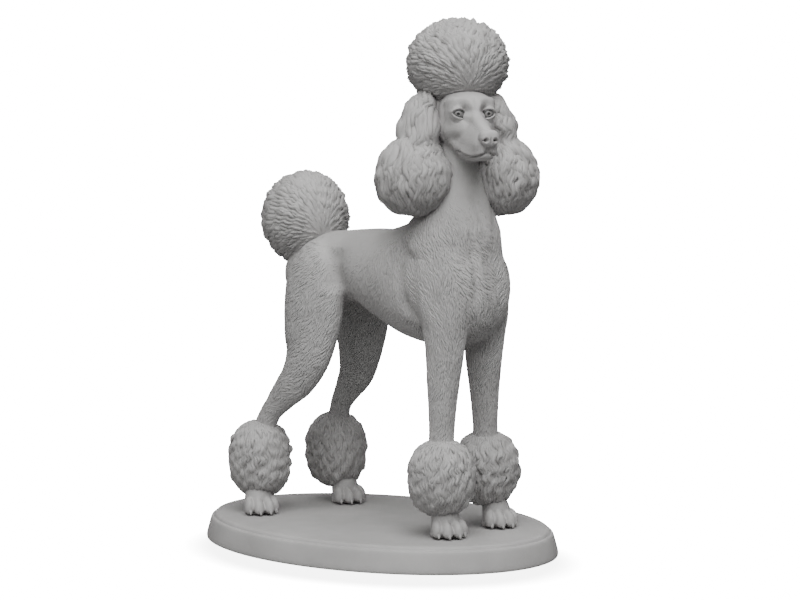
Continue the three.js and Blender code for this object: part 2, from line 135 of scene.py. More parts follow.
def cast_resin(name, tooth_mm, tooth_depth_mm, cloud_mm=24.0, roughness=0.62, with_painted_shade=False):
    """Base colour wanders between two greys in soft clouds, and a fine noise gives the mould's tooth as bump.
    A piece with painted shade has its colour multiplied by its painted_shade attribute, which paints shade
    into its hollows."""
    material = bpy.data.materials.new(name)
    tree = empty_tree(material)
    place = node(tree, "ShaderNodeTexCoord")
    cloud = node(tree, "ShaderNodeTexNoise", [("Scale", 1 / (cloud_mm * MM)), ("Detail", 3.0)],
                 [("Vector", place.outputs["Object"])])
    grey = node(tree, "ShaderNodeValToRGB", links=[("Fac", cloud.outputs["Fac"])])
    for element, position, tone in zip(grey.color_ramp.elements, (0.3, 0.7), (RESIN_SHADE, RESIN_GREY)):
        element.position = position
        element.color = linear(tone)
    colour = grey.outputs["Color"]
    # painted shade: the colour is darkened where the attribute is low
    if with_painted_shade:
        painted_shade = node(tree, "ShaderNodeAttribute", attribute_name="painted_shade")
        dark = node(tree, "ShaderNodeVectorMath", links=[(0, colour), (1, painted_shade.outputs["Vector"])],
                    operation="MULTIPLY")
        colour = dark.outputs["Vector"]
    tooth = node(tree, "ShaderNodeTexNoise", [("Scale", 1 / (tooth_mm * MM)), ("Detail", 4.0)],
                 [("Vector", place.outputs["Object"])])
    bump = node(tree, "ShaderNodeBump", [("Strength", 1.0), ("Distance", tooth_depth_mm * MM)],
                [("Height", tooth.outputs["Fac"])])
    gloss = node(tree, "ShaderNodeMapRange", [("To Min", roughness - 0.05), ("To Max", roughness + 0.07)],
                 [("Value", tooth.outputs["Fac"])])
    resin = node(tree, "ShaderNodeBsdfPrincipled", [("IOR", 1.5), ("Metallic", 0.0)],
                 [("Base Color", colour), ("Roughness", gloss.outputs["Result"]),
                  ("Normal", bump.outputs["Normal"])])
    node(tree, "ShaderNodeOutputMaterial", links=[("Surface", resin.outputs["BSDF"])])
    return material


plain_resin = cast_resin("grey_cast_resin_smooth", tooth_mm=0.9, tooth_depth_mm=0.05)
skin_resin = cast_resin("grey_cast_resin_skin", tooth_mm=0.8, tooth_depth_mm=0.10, cloud_mm=18.0)
coat_resin = cast_resin("grey_cast_resin_coat", tooth_mm=0.6, tooth_depth_mm=0.06, cloud_mm=16.0)
# the eyes' resin, darkened by painted shade
eye_resin = cast_resin("grey_cast_resin_polished_painted_shade", tooth_mm=0.5, tooth_depth_mm=0.01, roughness=0.34,
                       with_painted_shade=True)
print("materials:", [m.name for m in (plain_resin, skin_resin, coat_resin, eye_resin)])

# %% [markdown]
# ## From arrays to pieces
# Every surface below is an array of points worked out at once. A grid of points becomes quads by joining
# each point to its neighbours, which is only arithmetic on the point numbers.

# %% From arrays to pieces
def grid_faces(rows, columns):
    """Quads of a rows by columns grid: (i, j), (i, j+1), (i+1, j+1), (i+1, j), round the columns."""
    i, j = np.meshgrid(np.arange(rows - 1), np.arange(columns), indexing="ij")
    a = i * columns + j
    b = i * columns + (j + 1) % columns
    return np.stack([a, b, b + columns, a + columns], -1).reshape(-1, 4)


def ball_grid(rows, columns, forward, right, up, ease=1.0):
    """Directions over a ball, ring by ring from its pole forward, and its quads: cos(a) * forward + sin(a) *
    (cos(b) * right + sin(b) * up). An ease above 1 crowds the rings round that pole."""
    a = (np.linspace(0, 1, rows) ** ease * np.pi)[:, None, None]
    b = np.linspace(0, 2 * np.pi, columns, endpoint=False)
    ring = np.outer(np.cos(b), right) + np.outer(np.sin(b), up)
    return (np.cos(a) * np.asarray(forward) + np.sin(a) * ring).reshape(-1, 3), grid_faces(rows, columns)


def fill_mesh(mesh, points, *face_arrays):
    """Puts points in millimetres and one or more arrays of quads or triangles into a Blender mesh."""
    corners = np.concatenate([faces.ravel() for faces in face_arrays]).astype(np.int32)
    sides = np.concatenate([np.full(len(faces), faces.shape[1]) for faces in face_arrays])
    mesh.vertices.add(len(points))
    mesh.vertices.foreach_set("co", (np.asarray(points) * MM).astype(np.float32).ravel())
    mesh.loops.add(len(corners))
    mesh.loops.foreach_set("vertex_index", corners)
    mesh.polygons.add(len(sides))
    mesh.polygons.foreach_set("loop_start", (np.cumsum(sides) - sides).astype(np.int32))
    mesh.update(calc_edges=True)


def outward(mesh):
    """Merges the doubles at the poles and turns every face outwards."""
    work = bmesh.new()
    work.from_mesh(mesh)
    bmesh.ops.remove_doubles(work, verts=work.verts, dist=1e-4 * MM)
    bmesh.ops.recalc_face_normals(work, faces=work.faces)
    work.to_mesh(mesh)
    work.free()


def make_piece(name, points, faces, material, nodes=()):
    """A mesh object with its doubles merged and its faces turned outwards, ready as a piece."""
    mesh = bpy.data.meshes.new(name)
    fill_mesh(mesh, points, faces)
    outward(mesh)
    return finish_piece(name, mesh, material, nodes)


def finish_piece(name, mesh, material, nodes=()):
    """Gives a finished mesh its material and its body, and hides the CAD nodes that it stands for."""
    mesh.materials.clear()
    mesh.materials.append(material)
    mesh.polygons.foreach_set("use_smooth", np.ones(len(mesh.polygons), bool))
    piece = placed(name, mesh)
    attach(piece, "root")
    if nodes:
        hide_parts(*nodes)
    print(f"{name}: {len(mesh.vertices)} points, {len(mesh.polygons)} faces")
    return piece


# %% [markdown]
# ## Plinth
# An oval slab with softly sloping sides, a narrow step and a raised flat top. It is a profile carried round
# an ellipse. The CAD plinth has the same profile with few sides, so this one only rounds it, with small
# radii where a casting has them.

# %% Plinth
PLINTH_HALF_LENGTH = 100.0
PLINTH_HALF_WIDTH = 72.0
PLINTH_TOP = 12.8
PLINTH_PROFILE = np.array([  # inset from the lower edge, height
    (PLINTH_HALF_WIDTH, 0), (0.6, 0), (0.15, 0.2), (0, 0.7), (0, 1.4), (0.3, 3), (1.1, 6), (1.9, 8.8),
    (2.3, 9.9), (2.6, 10.5), (3, 10.85), (3.4, 10.95), (3.75, 10.9), (3.95, 11), (4.15, 11.5), (4.5, 12.1),
    (5, 12.5), (5.7, 12.75), (6.6, PLINTH_TOP), (9, PLINTH_TOP), (PLINTH_HALF_WIDTH, PLINTH_TOP),
])


def plinth_surface(turns=192):
    """Point (i, j): the profile's inset taken off both half axes, at angle j, so the inset keeps its width.
    The profile's two ends close on the axis."""
    angle = np.linspace(0, 2 * np.pi, turns, endpoint=False)
    inset, height = PLINTH_PROFILE.T
    wide = PLINTH_HALF_WIDTH - inset
    long = np.where(wide > 0, PLINTH_HALF_LENGTH - inset, 0)
    x = np.outer(wide, np.cos(angle))
    y = np.outer(long, np.sin(angle))
    z = np.repeat(height[:, None], turns, 1)
    return np.stack([x, y, z], -1).reshape(-1, 3), grid_faces(len(height), turns)


plinth = make_piece("plinth_cast", *plinth_surface(), plain_resin, ["plinth"])

# %% [markdown]
# ## Lofts
# Trunk, neck, legs and ears are ovals carried along a curved line. A few stations give the middle of the
# oval and its half width and half depth in millimetres. A cubic through the stations fills in what lies
# between, and the squares of the half sizes are blended at the two ends, which rounds them off.

# %% Lofts
def smooth_at(values, t):
    """Cubic through evenly numbered rows of values, with slopes taken from the neighbours on both sides."""
    last = len(values) - 1
    i = np.minimum(np.floor(t).astype(int), last - 1)
    f = (t - i)[:, None]
    before, here, after, beyond = (values[np.clip(i + k, 0, last)] for k in (-1, 0, 1, 2))
    return ((2 * f**3 - 3 * f**2 + 1) * here + (f**3 - 2 * f**2 + f) * (after - before) / 2
            + (3 * f**2 - 2 * f**3) * after + (f**3 - f**2) * (beyond - here) / 2)


def unit(vectors):
    """Rows scaled to length one."""
    return vectors / np.maximum(np.linalg.norm(vectors, axis=-1, keepdims=True), 1e-9)


def smoothstep(low, high, values):
    """0 below low, 1 above high, and 3 t^2 - 2 t^3 between them."""
    t = np.clip((values - low) / (high - low), 0, 1)
    return t * t * (3 - 2 * t)


def spine(stations, t, lateral=(1, 0, 0)):
    """Middle, half sizes and the two crosswise directions of the oval at each t: across is lateral made
    square to the line, and deep is square to both."""
    stations = np.asarray(stations, float)
    last = len(stations) - 1
    middle = smooth_at(stations[:, :3], t)
    squares = stations[:, 3:] ** 2
    i = np.minimum(np.floor(t).astype(int), last - 1)
    straight = squares[i] + (squares[i + 1] - squares[i]) * (t - i)[:, None]
    at_end = ((i == 0) | (i == last - 1))[:, None]
    half = np.sqrt(np.maximum(np.where(at_end, straight, smooth_at(squares, t)), 0))
    tangent = unit(smooth_at(stations[:, :3], np.minimum(t + 0.02, last))
                   - smooth_at(stations[:, :3], np.maximum(t - 0.02, 0)))
    lateral = np.asarray(lateral, float)
    across = unit(lateral - tangent * (tangent @ lateral)[:, None])
    return middle, half, across, np.cross(tangent, across)


def loft(stations, sides=48, steps=8, lateral=(1, 0, 0), boxy=1.0, taper=0.0):
    """Point (i, j): middle + across * half width * cos(angle) + deep * half depth * sin(angle). A boxy power
    below 1 squares the oval, and taper narrows its deep side."""
    last = len(stations) - 1
    t = np.linspace(0, last, last * steps + 1)
    t = np.where(t < 1, t * t, np.where(t > last - 1, last - (last - t) ** 2, t))
    middle, half, across, deep = spine(stations, t, lateral)
    angle = np.linspace(0, 2 * np.pi, sides, endpoint=False)
    c, s = np.cos(angle), np.sin(angle)
    c, s = np.sign(c) * np.abs(c) ** boxy, np.sign(s) * np.abs(s) ** boxy
    wide = (half[:, :1] * c * (1 - taper * s))[..., None] * across[:, None]
    high = (half[:, 1:] * s)[..., None] * deep[:, None]
    return (middle[:, None] + wide + high).reshape(-1, 3), grid_faces(len(t), sides)


# %% [markdown]
# ## The turned head
# The head is worked out looking straight ahead over the neck's axis, then turned over the right shoulder.
# The same turn places the eyes, the nose, the ears and the topknot.

# %% The turned head
HEAD_YAW = math.radians(-32)
HEAD_PIVOT = np.array([0.0, -56.0, 0.0])


def turned(points):
    """Rotation about the upright axis through the pivot: x' = c x - s y, y' = s x + c y."""
    c, s = math.cos(HEAD_YAW), math.sin(HEAD_YAW)
    x, y, z = np.asarray(points, float).T
    return np.stack([c * x - s * y, s * x + c * y, z], -1) + HEAD_PIVOT


def turned_back(points):
    """The inverse of turned."""
    c, s = math.cos(HEAD_YAW), math.sin(HEAD_YAW)
    x, y, z = (np.asarray(points, float) - HEAD_PIVOT).T
    return np.stack([c * x + s * y, -s * x + c * y, z], -1)


# %% [markdown]
# ## Skin: the plain forms
# Trunk, neck, head, jaw and legs are lofts with the CAD model's sizes. Laid into each other they only
# overlap, and a sculptor would smear clay over the joints. The voxel remesh does that: it turns the
# overlapping closed forms into one skin of even small quads, and smoothing then melts the joints without
# moving the broad forms.

# %% Skin: stations of the plain forms
TRUNK = [(0, -76.6, 136, 0, 0), (0, -73, 135.5, 15, 19), (0, -61, 134, 21.6, 28), (0, -44, 134, 22.6, 31.2),
         (0, -26, 134.8, 23.5, 29), (0, -11, 136.6, 22.6, 23.6), (0, 2, 139.2, 20.6, 19.8),
         (0, 16, 139.8, 19, 17.8), (0, 32, 138, 18.5, 17.8), (0, 45, 133.6, 16, 16.8), (0, 54, 130, 11, 12),
         (0, 57, 129, 0, 0)]
NECK = [(0, -42, 138, 0, 0), (0, -46.5, 146, 22, 27.6), (0, -50, 157, 21, 25.5), (0, -51.8, 168, 17, 20.2),
        (0, -53, 180, 13, 15), (0, -52.4, 192, 10.6, 11.8), (0, -50.6, 203, 8.6, 10.4), (0, -51, 212, 0, 0)]
TAIL = [(0, 38, 146, 0, 0), (0, 41, 150, 5, 5), (0, 46, 157, 4.6, 4.6), (0, 50, 165, 0, 0)]
FORE_LEG = [(10, -40, 160, 0, 0), (13, -46, 152, 7.5, 13), (14.6, -53, 138, 9.2, 17),
            (15.2, -56.5, 122, 9, 14.5), (15.6, -57, 108, 8.4, 11.2), (16, -56.5, 96, 7.9, 9.7),
            (17, -56.5, 80, 6.8, 7.6), (18, -56.5, 64, 6, 6.3), (18.6, -56.5, 53, 6, 6.2),
            (18.8, -56.5, 47, 0, 0)]
HIND_LEG = [(10, 31, 152, 0, 0), (13.5, 30, 145, 7.5, 11.2), (16.5, 28.5, 135, 9.8, 16.6),
            (18.4, 27.2, 121, 10.4, 18), (20, 27.4, 107, 10, 16.4), (21.5, 28.4, 95, 8.8, 13.4),
            (22.8, 33.9, 83, 7.8, 10.4), (23.8, 42.6, 73.5, 6.3, 7.6), (24.4, 50.5, 65, 5.2, 5.8),
            (24.8, 54.5, 57, 5, 5.6), (24.8, 56, 50, 0, 0)]
# Each leg: its side, how far it shifts out, how far knee and foot shift back, the places of its ball and paw,
# and the paw's turn
LEGS = {
    "fore_left": dict(side=1, out=-1.3, knee=0, foot=1.5, ball=(19, -54.5, 42), paw=(19.5, -61.5), turn=-18),
    "fore_right": dict(side=-1, out=0, knee=-0.5, foot=-1.5, ball=(-19.2, -58.5, 42), paw=(-20, -62.5),
                       turn=-24),
    "hind_left": dict(side=1, out=0, knee=4.4, foot=-5.5, ball=(24, 52.5, 40.8), paw=(23.5, 44.5), turn=-14),
    "hind_right": dict(side=-1, out=0, knee=0, foot=1.5, ball=(-26, 58.5, 40.8), paw=(-31.5, 53.5), turn=-24),
}


def leg_stations(name):
    """The plain leg, mirrored for its side, with its knee and foot shifted back in two straight spans."""
    leg = LEGS[name]
    stations = np.array(FORE_LEG if name.startswith("fore") else HIND_LEG, float)
    t = np.linspace(0, 2, len(stations))
    stations[:, 0] = leg["side"] * (stations[:, 0] + leg["out"])
    stations[:, 1] += np.interp(t, [0, 1, 2], [0, leg["knee"], leg["foot"]])
    return stations


# %% Skin: clay of the head
# Looking straight ahead. Each is a loft, and those in PAIRED are laid on both sides.
CRANIUM = [(0, 15, 213, 0, 0), (0, 9, 214, 10, 9.5), (0, 0, 214.6, 12.8, 12), (0, -8, 214.6, 12.5, 11.6),
           (0, -13.5, 213.8, 10.6, 10.2), (0, -18.4, 212, 0, 0)]
MUZZLE = [(0, -3, 207, 0, 0), (0, -8, 206.4, 8.4, 8.2), (0, -13, 205.8, 7.9, 7.6), (0, -18, 205.2, 7.3, 7.8),
          (0, -24, 204.2, 6.5, 8), (0, -31, 202.8, 5.6, 7.2), (0, -36, 202.4, 4.5, 5.6),
          (0, -38.6, 202, 0, 0)]
BRIDGE = [(0, -8, 214, 0, 0), (0, -13, 213.8, 3.8, 3.8), (0, -18, 212.7, 3.5, 3.8),
          (0, -24, 210.5, 3.4, 3.7), (0, -31, 208, 3.2, 2.9), (0, -36, 206, 2.8, 2.4), (0, -38, 205, 0, 0)]
LOWER_JAW = [(0, 6, 208, 0, 0), (0, 0, 205, 8.8, 5.4), (0, -7, 200.6, 8.2, 5), (0, -14, 197.3, 7, 4.2),
             (0, -22, 196.6, 5.7, 3.3), (0, -30, 196.2, 4.6, 2.7), (0, -35, 196.4, 3.5, 2),
             (0, -37.2, 196.9, 0, 0)]
CHEEKBONE = [(9, 5, 210, 0, 0), (10.4, 1, 209.4, 3.2, 6), (10.2, -4, 208.8, 3.3, 6.2),
             (8.9, -9, 208.4, 3.2, 5.4), (6.9, -14, 208, 2.6, 4.2), (4.8, -20, 207.4, 0, 0)]
BROW = [(0, -15, 219.4, 0, 0), (3, -15.4, 220.2, 2.4, 2), (6.8, -14.2, 221, 2.8, 2.3),
        (9.8, -10.4, 220.8, 2.6, 2.4), (11, -4, 219, 0, 0)]
JAW_MUSCLE = [(8.4, 8, 209.6, 0, 0), (9.6, 4, 208.8, 3.4, 4.8), (9.2, -1, 207, 3.4, 5),
              (8.2, -7, 204.2, 3, 4.4), (5.8, -14, 202, 0, 0)]
FLEW = [(1.2, -37.2, 199.4, 0, 0), (2.8, -36, 198.9, 1.4, 1.9), (4.4, -31, 198.1, 1.5, 2.3),
        (5.5, -24, 198.4, 1.6, 2.5), (6.4, -18, 199.2, 1.7, 2.7), (7.2, -13, 200.2, 1.8, 3),
        (7.2, -9.5, 201.2, 1.7, 2.8), (6.2, -5, 202.6, 0, 0)]
EAR_ROOT = [(8, 8, 226, 0, 0), (11, 7, 220, 3.5, 5), (12.4, 6.5, 212, 3.5, 6), (12.2, 6, 204, 3.2, 5),
            (9, 6, 197, 0, 0)]
PAIRED = [CHEEKBONE, BROW, JAW_MUSCLE, FLEW, EAR_ROOT]

# %% Skin: one closed surface
VOXEL = 1.0  # mm
MELT = 8  # rounds of smoothing
BODY_MELT = 40  # further rounds where the legs and the neck grow out of the trunk
MELT_RETURN = 0.94  # the part of each round's shrinking that is given back


def joined(parts):
    """Stacks several (points, faces) into one pair."""
    points, faces, start = [], [], 0
    for part_points, part_faces in parts:
        points.append(part_points)
        faces.append(part_faces + start)
        start += len(part_points)
    return np.concatenate(points), np.concatenate(faces)


def remeshed(name, points, faces, voxel):
    """The outer surface of overlapping closed forms, as even quads about one voxel wide."""
    mesh = bpy.data.meshes.new(name)
    fill_mesh(mesh, points, faces)
    outward(mesh)
    clay = placed(name, mesh)
    remesh = clay.modifiers.new("remesh", "REMESH")
    remesh.mode = "VOXEL"
    remesh.voxel_size = voxel * MM
    made = bpy.data.meshes.new_from_object(clay.evaluated_get(bpy.context.evaluated_depsgraph_get()))
    bpy.data.objects.remove(clay)
    return made


def values_of(items, name, width, kind=np.int32):
    """One property of a mesh's points, edges, corners or triangles, as rows of an array."""
    values = np.empty(len(items) * width, kind)
    items.foreach_get(name, values)
    return values.reshape(-1, width)


def edges_of(mesh):
    """The mesh's edges as pairs of point numbers."""
    return values_of(mesh.edges, "vertices", 2)


def points_of(mesh):
    """The mesh's points in millimetres."""
    return values_of(mesh.vertices, "co", 3, np.float32).astype(float) / MM


def normals_of(mesh):
    """The outward direction at each of the mesh's points."""
    return values_of(mesh.vertex_normals, "vector", 3, np.float32).astype(float)


def put_points(mesh, points):
    """Moves the mesh's points to an array of places in millimetres."""
    mesh.vertices.foreach_set("co", (points * MM).astype(np.float32).ravel())
    mesh.update()


def melt(points, edges, rounds, share=None, weight=0.5):
    """Each round moves every point part of the way to the mean of its neighbours, then almost as far back, so
    that bumps melt and the body keeps its size. share, 0 to 1 for each point, limits it to a region."""
    count = np.bincount(edges.ravel(), minlength=len(points))[:, None]
    share = 1 if share is None else share[:, None]
    a, b = edges.T
    for step in range(2 * rounds):
        total = np.stack([np.bincount(a, line[b], len(line)) + np.bincount(b, line[a], len(line))
                          for line in points.T], -1)
        amount = weight if step % 2 == 0 else -MELT_RETURN * weight
        points = points + share * amount * (total / count - points)
    return points


body_parts = [loft(TRUNK), loft(NECK), loft(TAIL)] + [loft(leg_stations(name)) for name in LEGS]
head_parts = [loft(CRANIUM, boxy=0.82, taper=-0.07), loft(MUZZLE, boxy=0.9, taper=0.3),
              loft(BRIDGE, boxy=0.9), loft(LOWER_JAW, boxy=0.85)]
for stations in PAIRED:
    lateral = (0, 0, 1) if stations is BROW else (1, 0, 0)
    for side in SIDES:
        head_parts.append(loft(np.array(stations) * (side, 1, 1, 1, 1), lateral=lateral))
for points, faces in head_parts:
    body_parts.append((turned(points), faces))
skin = remeshed("skin", *joined(body_parts), VOXEL)
points = melt(points_of(skin), edges_of(skin), MELT)
behind_head = smoothstep(196, 182, points[:, 2]) * smoothstep(54, 62, points[:, 2])
points = melt(points, edges_of(skin), BODY_MELT, behind_head)
put_points(skin, points)
print("skin clay:", len(skin.vertices), "points")

# %% [markdown]
# ## Skin: finer clay for the face
# Lids and lips are narrower than the voxels. Only the face is made finer: its edges are cut in half, once
# for the whole face and once more round the eyes and the mouth, and each time the new points are melted into
# the form.

# %% Skin: finer clay for the face
FACE_MIDDLE = np.array([0, -22, 207.5])
FACE_REACH = np.array([13.5, 21, 18])
DETAIL_SPOTS = [  # middle and reach, in the head's own directions, for the side at +x
    ((7.4, -14, 215.4), (5.6, 5.5, 6.2)),
    ((4.6, -26, 197.2), (5.2, 16, 5.2)),
]


def nearness(points, middle, reach):
    """Distance from a middle, counted in reaches, for points in the head's own directions."""
    return np.linalg.norm((points - middle) / reach, axis=-1)


def in_face(points):
    """True in the ovoid of the face."""
    return nearness(points, FACE_MIDDLE, FACE_REACH) < 1


def in_detail(points):
    """True near the eyes and the mouth."""
    folded = np.abs(points * (1, 0, 0)) + points * (0, 1, 1)
    return np.any([nearness(folded, *spot) < 1 for spot in DETAIL_SPOTS], axis=0)


def refined(mesh, chosen, rounds):
    """Cuts every edge whose two ends are chosen in half, and melts the region."""
    inside = chosen(turned_back(points_of(mesh)))
    work = bmesh.new()
    work.from_mesh(mesh)
    work.verts.ensure_lookup_table()
    marked = [edge for edge in work.edges if inside[edge.verts[0].index] and inside[edge.verts[1].index]]
    bmesh.ops.subdivide_edges(work, edges=marked, cuts=1, use_grid_fill=True)
    work.to_mesh(mesh)
    work.free()
    share = chosen(turned_back(points_of(mesh))).astype(float)
    put_points(mesh, melt(points_of(mesh), edges_of(mesh), rounds, share))


refined(skin, in_face, 3)
refined(skin, in_detail, 3)
print("skin with fine face:", len(skin.vertices), "points")

# %% [markdown]
# ## Skin: carving
# Two kinds of stroke shape the surface. A thumb-press moves points along one direction and fades out like a
# bell. A cut follows a curve and moves points in or out along the surface's own outward direction, deepest
# on the curve. Curves lie in the head's own directions, and paired ones are mirrored.

# %% Skin: thumb-presses and cuts
def press(points, middle, reach, push, side=1):
    """Adds push * exp(-distance squared, counted in reaches). Middle and push are given for side 1, at +x."""
    flip = np.array([side, 1, 1])
    return points + np.exp(-nearness(points, middle * flip, reach)**2)[:, None] * (push * flip)


def laid_on(points, curve):
    """Each place of the curve is drawn to the mean of the points nearest to it, so it lies on the surface."""
    away = np.linalg.norm(points[None] - np.asarray(curve, float)[:, None], axis=-1)
    share = np.exp(-((away - away.min(1, keepdims=True)) / 0.3) ** 2)
    return share @ points / share.sum(1, keepdims=True)


def curve_distance(points, curve):
    """Distance of each point to a smooth curve through the given places, and how far along it the nearest is.
    Along runs from 0 to 1."""
    line = smooth_at(curve, np.linspace(0, len(curve) - 1, 8 * (len(curve) - 1) + 1))
    start, step = line[:-1], np.diff(line, axis=0)
    t = np.einsum("psk,sk->ps", points[:, None] - start, step) / (step**2).sum(1)
    t = np.clip(t, 0, 1)
    gap = np.linalg.norm(points[:, None] - start - t[..., None] * step, axis=-1)
    nearest = gap.argmin(1)
    rows = np.arange(len(points))
    return gap[rows, nearest], (nearest + t[rows, nearest]) / len(step)


def cut(points, normals, curve, width, depth, fade=0.15, reach=4.0):
    """Moves points against their outward direction by depth * exp(-(distance / width) squared), eased off
    over the last part, fade, of both ends. A negative depth raises a ridge."""
    curve = laid_on(points, curve)
    near = np.all((points > curve.min(0) - reach * width) & (points < curve.max(0) + reach * width), axis=1)
    gap, along = curve_distance(points[near], curve)
    ease = smoothstep(0, fade, along) * smoothstep(0, fade, 1 - along) if fade else 1
    moved = points.copy()
    moved[near] -= normals[near] * (depth * ease * np.exp(-(gap / width)**2))[:, None]
    return moved


def cut_both(points, normals, rows):
    """Makes each cut of a table of curve, width, depth and fade on the left, and mirrored on the right."""
    for curve, *stroke in rows:
        points = cut(points, normals, curve, *stroke)
        points = cut(points, normals, np.array(curve) * (-1, 1, 1), *stroke)
    return points


# %% Skin: lids
EYE_CENTRE = np.array([7.3, -12.8, 215.5])  # for the side at +x
EYE_RADIUS = 3.6
OUTER_CORNER = (-3.5, 0.45)  # mm along the ball from straight ahead: towards the nose, and up
INNER_CORNER = (3.9, -1.1)
UPPER_ARCH = 2.25
LOWER_ARCH = 1.35
LOWER_EDGE = 0.5  # how far the lower lid's edge stands off the ball
UPPER_EDGE = 0.6  # how much further the upper one does
SUNK = 1.8  # how far behind the ball's surface the skin is sunk inside the almond
LEAST_EDGE = 0.4  # the skin outside the almond never comes nearer to the ball's surface than this


def on_ball(points, side):
    """Places seen from the eye's middle: distance, arc towards the nose and arc upwards, both in mm."""
    q = points - EYE_CENTRE * (side, 1, 1)
    distance = np.linalg.norm(q, axis=1)
    inwards = EYE_RADIUS * np.arctan2(-side * q[:, 0], -q[:, 1])
    upwards = EYE_RADIUS * np.arcsin(q[:, 2] / distance)
    return distance, inwards, upwards


def lid_opening(u, v):
    """How far outside the almond a place is (negative inside), and its height above the line between the
    corners. The two arcs rise from that line by arch * (4 s (1 - s)) ** 0.85."""
    (u0, v0), (u1, v1) = OUTER_CORNER, INNER_CORNER
    s = np.clip((u - u0) / (u1 - u0), 0, 1)
    height = v - v0 - (v1 - v0) * s
    arch = (4 * s * (1 - s)) ** 0.85
    inside = 0.9 * np.minimum(UPPER_ARCH * arch - height, height + LOWER_ARCH * arch)
    corner = np.hypot(np.maximum(np.maximum(u0 - u, u - u1), 0), height)
    return np.where((u < u0) | (u > u1), corner, -inside), height


def near_lids(points):
    """True in a narrow band along the lids' edges."""
    chosen = np.zeros(len(points), bool)
    for side in SIDES:
        distance, u, v = on_ball(points, side)
        out = lid_opening(u, v)[0]
        chosen |= (distance < 8) & (np.abs(u) < 6) & (out > -0.7) & (out < 1.1)
    return chosen


def bell(x, middle, width):
    """exp(-((x - middle) / width) squared)."""
    return np.exp(-((x - middle) / width) ** 2)


def lids_cut(points, side):
    """Works with each point's distance from the eye's middle: inside the almond it sinks behind the ball, at
    the rim it stands off the ball, and further out it eases back to the clay."""
    distance, u, v = on_ball(points, side)
    out, height = lid_opening(u, v)
    upper = smoothstep(-0.7, 0.7, height)
    corner = smoothstep(2.0, 3.6, u)
    edge = LOWER_EDGE + UPPER_EDGE * upper + 0.1 * corner + 0.12 * bell(out, 0.5, 0.35)
    edge -= upper * (1 - corner) * 0.32 * bell(out, 1.75, 0.28)  # the upper lid's crease
    rim = EYE_RADIUS - SUNK + (edge + SUNK) * smoothstep(-0.3, 0.14, out)
    bag = (1 - upper) * (0.25 * bell(out, 1.8, 0.7) - 0.3 * bell(out, 2.9, 0.5)) * smoothstep(-4.0, -2.0, u)
    fold = 0.3 * upper * bell(out, 2.6, 0.6)
    ease = smoothstep(0.8, 3.0, out)
    target = rim * (1 - ease) + (distance + bag + fold) * ease
    target = np.where(out > 0.2, np.maximum(target, EYE_RADIUS + LEAST_EDGE), target)
    fade = smoothstep(5.5, 4.5, out) * smoothstep(9, 8, distance) * smoothstep(7.5, 6.5, np.abs(u))
    scale = 1 + fade * (target / distance - 1)
    middle = EYE_CENTRE * (side, 1, 1)
    return middle + (points - middle) * scale[:, None]


# %% Skin: head forms and creases
HEAD_PRESSES = [  # middle, reach, push for the side at +x
    ((4.7, -17.3, 214.0), (1.6, 3.4, 2.4), (-0.9, 0.6, 0)),  # between the bridge and the eye
    ((8.8, -12, 204.6), (3.0, 5.0, 2.0), (-0.9, 0, 0)),  # hollow between cheekbone and lip
    ((5.0, -33, 201), (1.6, 3.0, 2.6), (0.35, -0.3, 0)),  # whisker pad
]
FOREHEAD_FURROW = ((0, -17.5, 221), (1.0, 4.0, 3.6), (0, 0.4, 0))
BROW_HOLLOW = ((4.8, -16.4, 217.2), (2.3, 3.6, 1.9), (-0.3, 1.9, 0))
MOUTH = [(0, -37.4, 197.5), (1.5, -37, 197.1), (3.1, -34.4, 196.3), (4.8, -28.9, 195.4), (6.3, -22.2, 196),
         (7.8, -18.6, 197.4), (8.3, -13, 197.8)]
UPPER_LIP = [(1, -39, 198.4), (3.6, -35.5, 197.5), (5.2, -30, 196.7), (6.8, -23.5, 197.2),
             (8.2, -18.6, 198.6)]
LOWER_LIP = [(0.4, -37, 196.3), (3, -34.4, 195.2), (4.5, -29, 194.4), (6, -22.5, 194.9), (7.3, -17.5, 196.2),
             (8, -13, 196.7)]
LIP_FOLD = [(8.9, -10.8, 199.4), (8.8, -9.6, 197.8), (8, -9.6, 196.2), (7, -12, 195), (6, -16, 194)]
CHEEK_FOLD = [(9.4, -8.6, 206), (9.4, -7.2, 203.4), (9.2, -6.2, 200.8), (8.7, -6.6, 198.6),
              (7.6, -8.4, 196.4)]
TEAR_CREASE = [(4.6, -16.6, 214.2), (4.9, -18.3, 213.2), (5.4, -19.4, 212.2)]
BAG_FOLD = [(11, -12, 213.4), (9.5, -13.7, 211.6), (7.2, -15.5, 210.8), (5.6, -19, 211.2), (4.4, -21, 212.2)]
EAR_FOLD = [(12.6, -5.5, 222), (13, -5.6, 214), (13, -4.6, 206), (11, -3.5, 200)]
PHILTRUM = ([(0, -40.4, 200.4), (0, -39.8, 199), (0, -38.6, 197.8)], 0.35, 0.5, 0)
HEAD_CUTS = [  # curve, width, depth, fade of the ends
    (MOUTH, 0.45, 1.4, 0.04),
    (UPPER_LIP, 0.9, -0.40, 0.15),
    (LOWER_LIP, 0.7, -0.30, 0.2),
    (LIP_FOLD, 0.5, 0.8, 0.2),
    (CHEEK_FOLD, 1.0, 0.8, 0.3),
    (EAR_FOLD, 1.5, 2.2, 0.2),
    (TEAR_CREASE, 0.4, 0.4, 0.3),
    (BAG_FOLD, 0.6, 0.25, 0.3),
]

refined(skin, near_lids, 0)
points = turned_back(points_of(skin))
for row in HEAD_PRESSES:
    for side in SIDES:
        points = press(points, *row, side)
points = press(points, *FOREHEAD_FURROW)
put_points(skin, turned(points))
normals = turned_back(normals_of(skin) + HEAD_PIVOT)
points = cut_both(points, normals, HEAD_CUTS)
points = cut(points, normals, *PHILTRUM)
for side in SIDES:
    points = press(lids_cut(points, side), *BROW_HOLLOW, side)
points = melt(points, edges_of(skin), 2, near_lids(points).astype(float), 0.4)
put_points(skin, turned(points))
print("skin with carved face:", len(skin.vertices), "points")

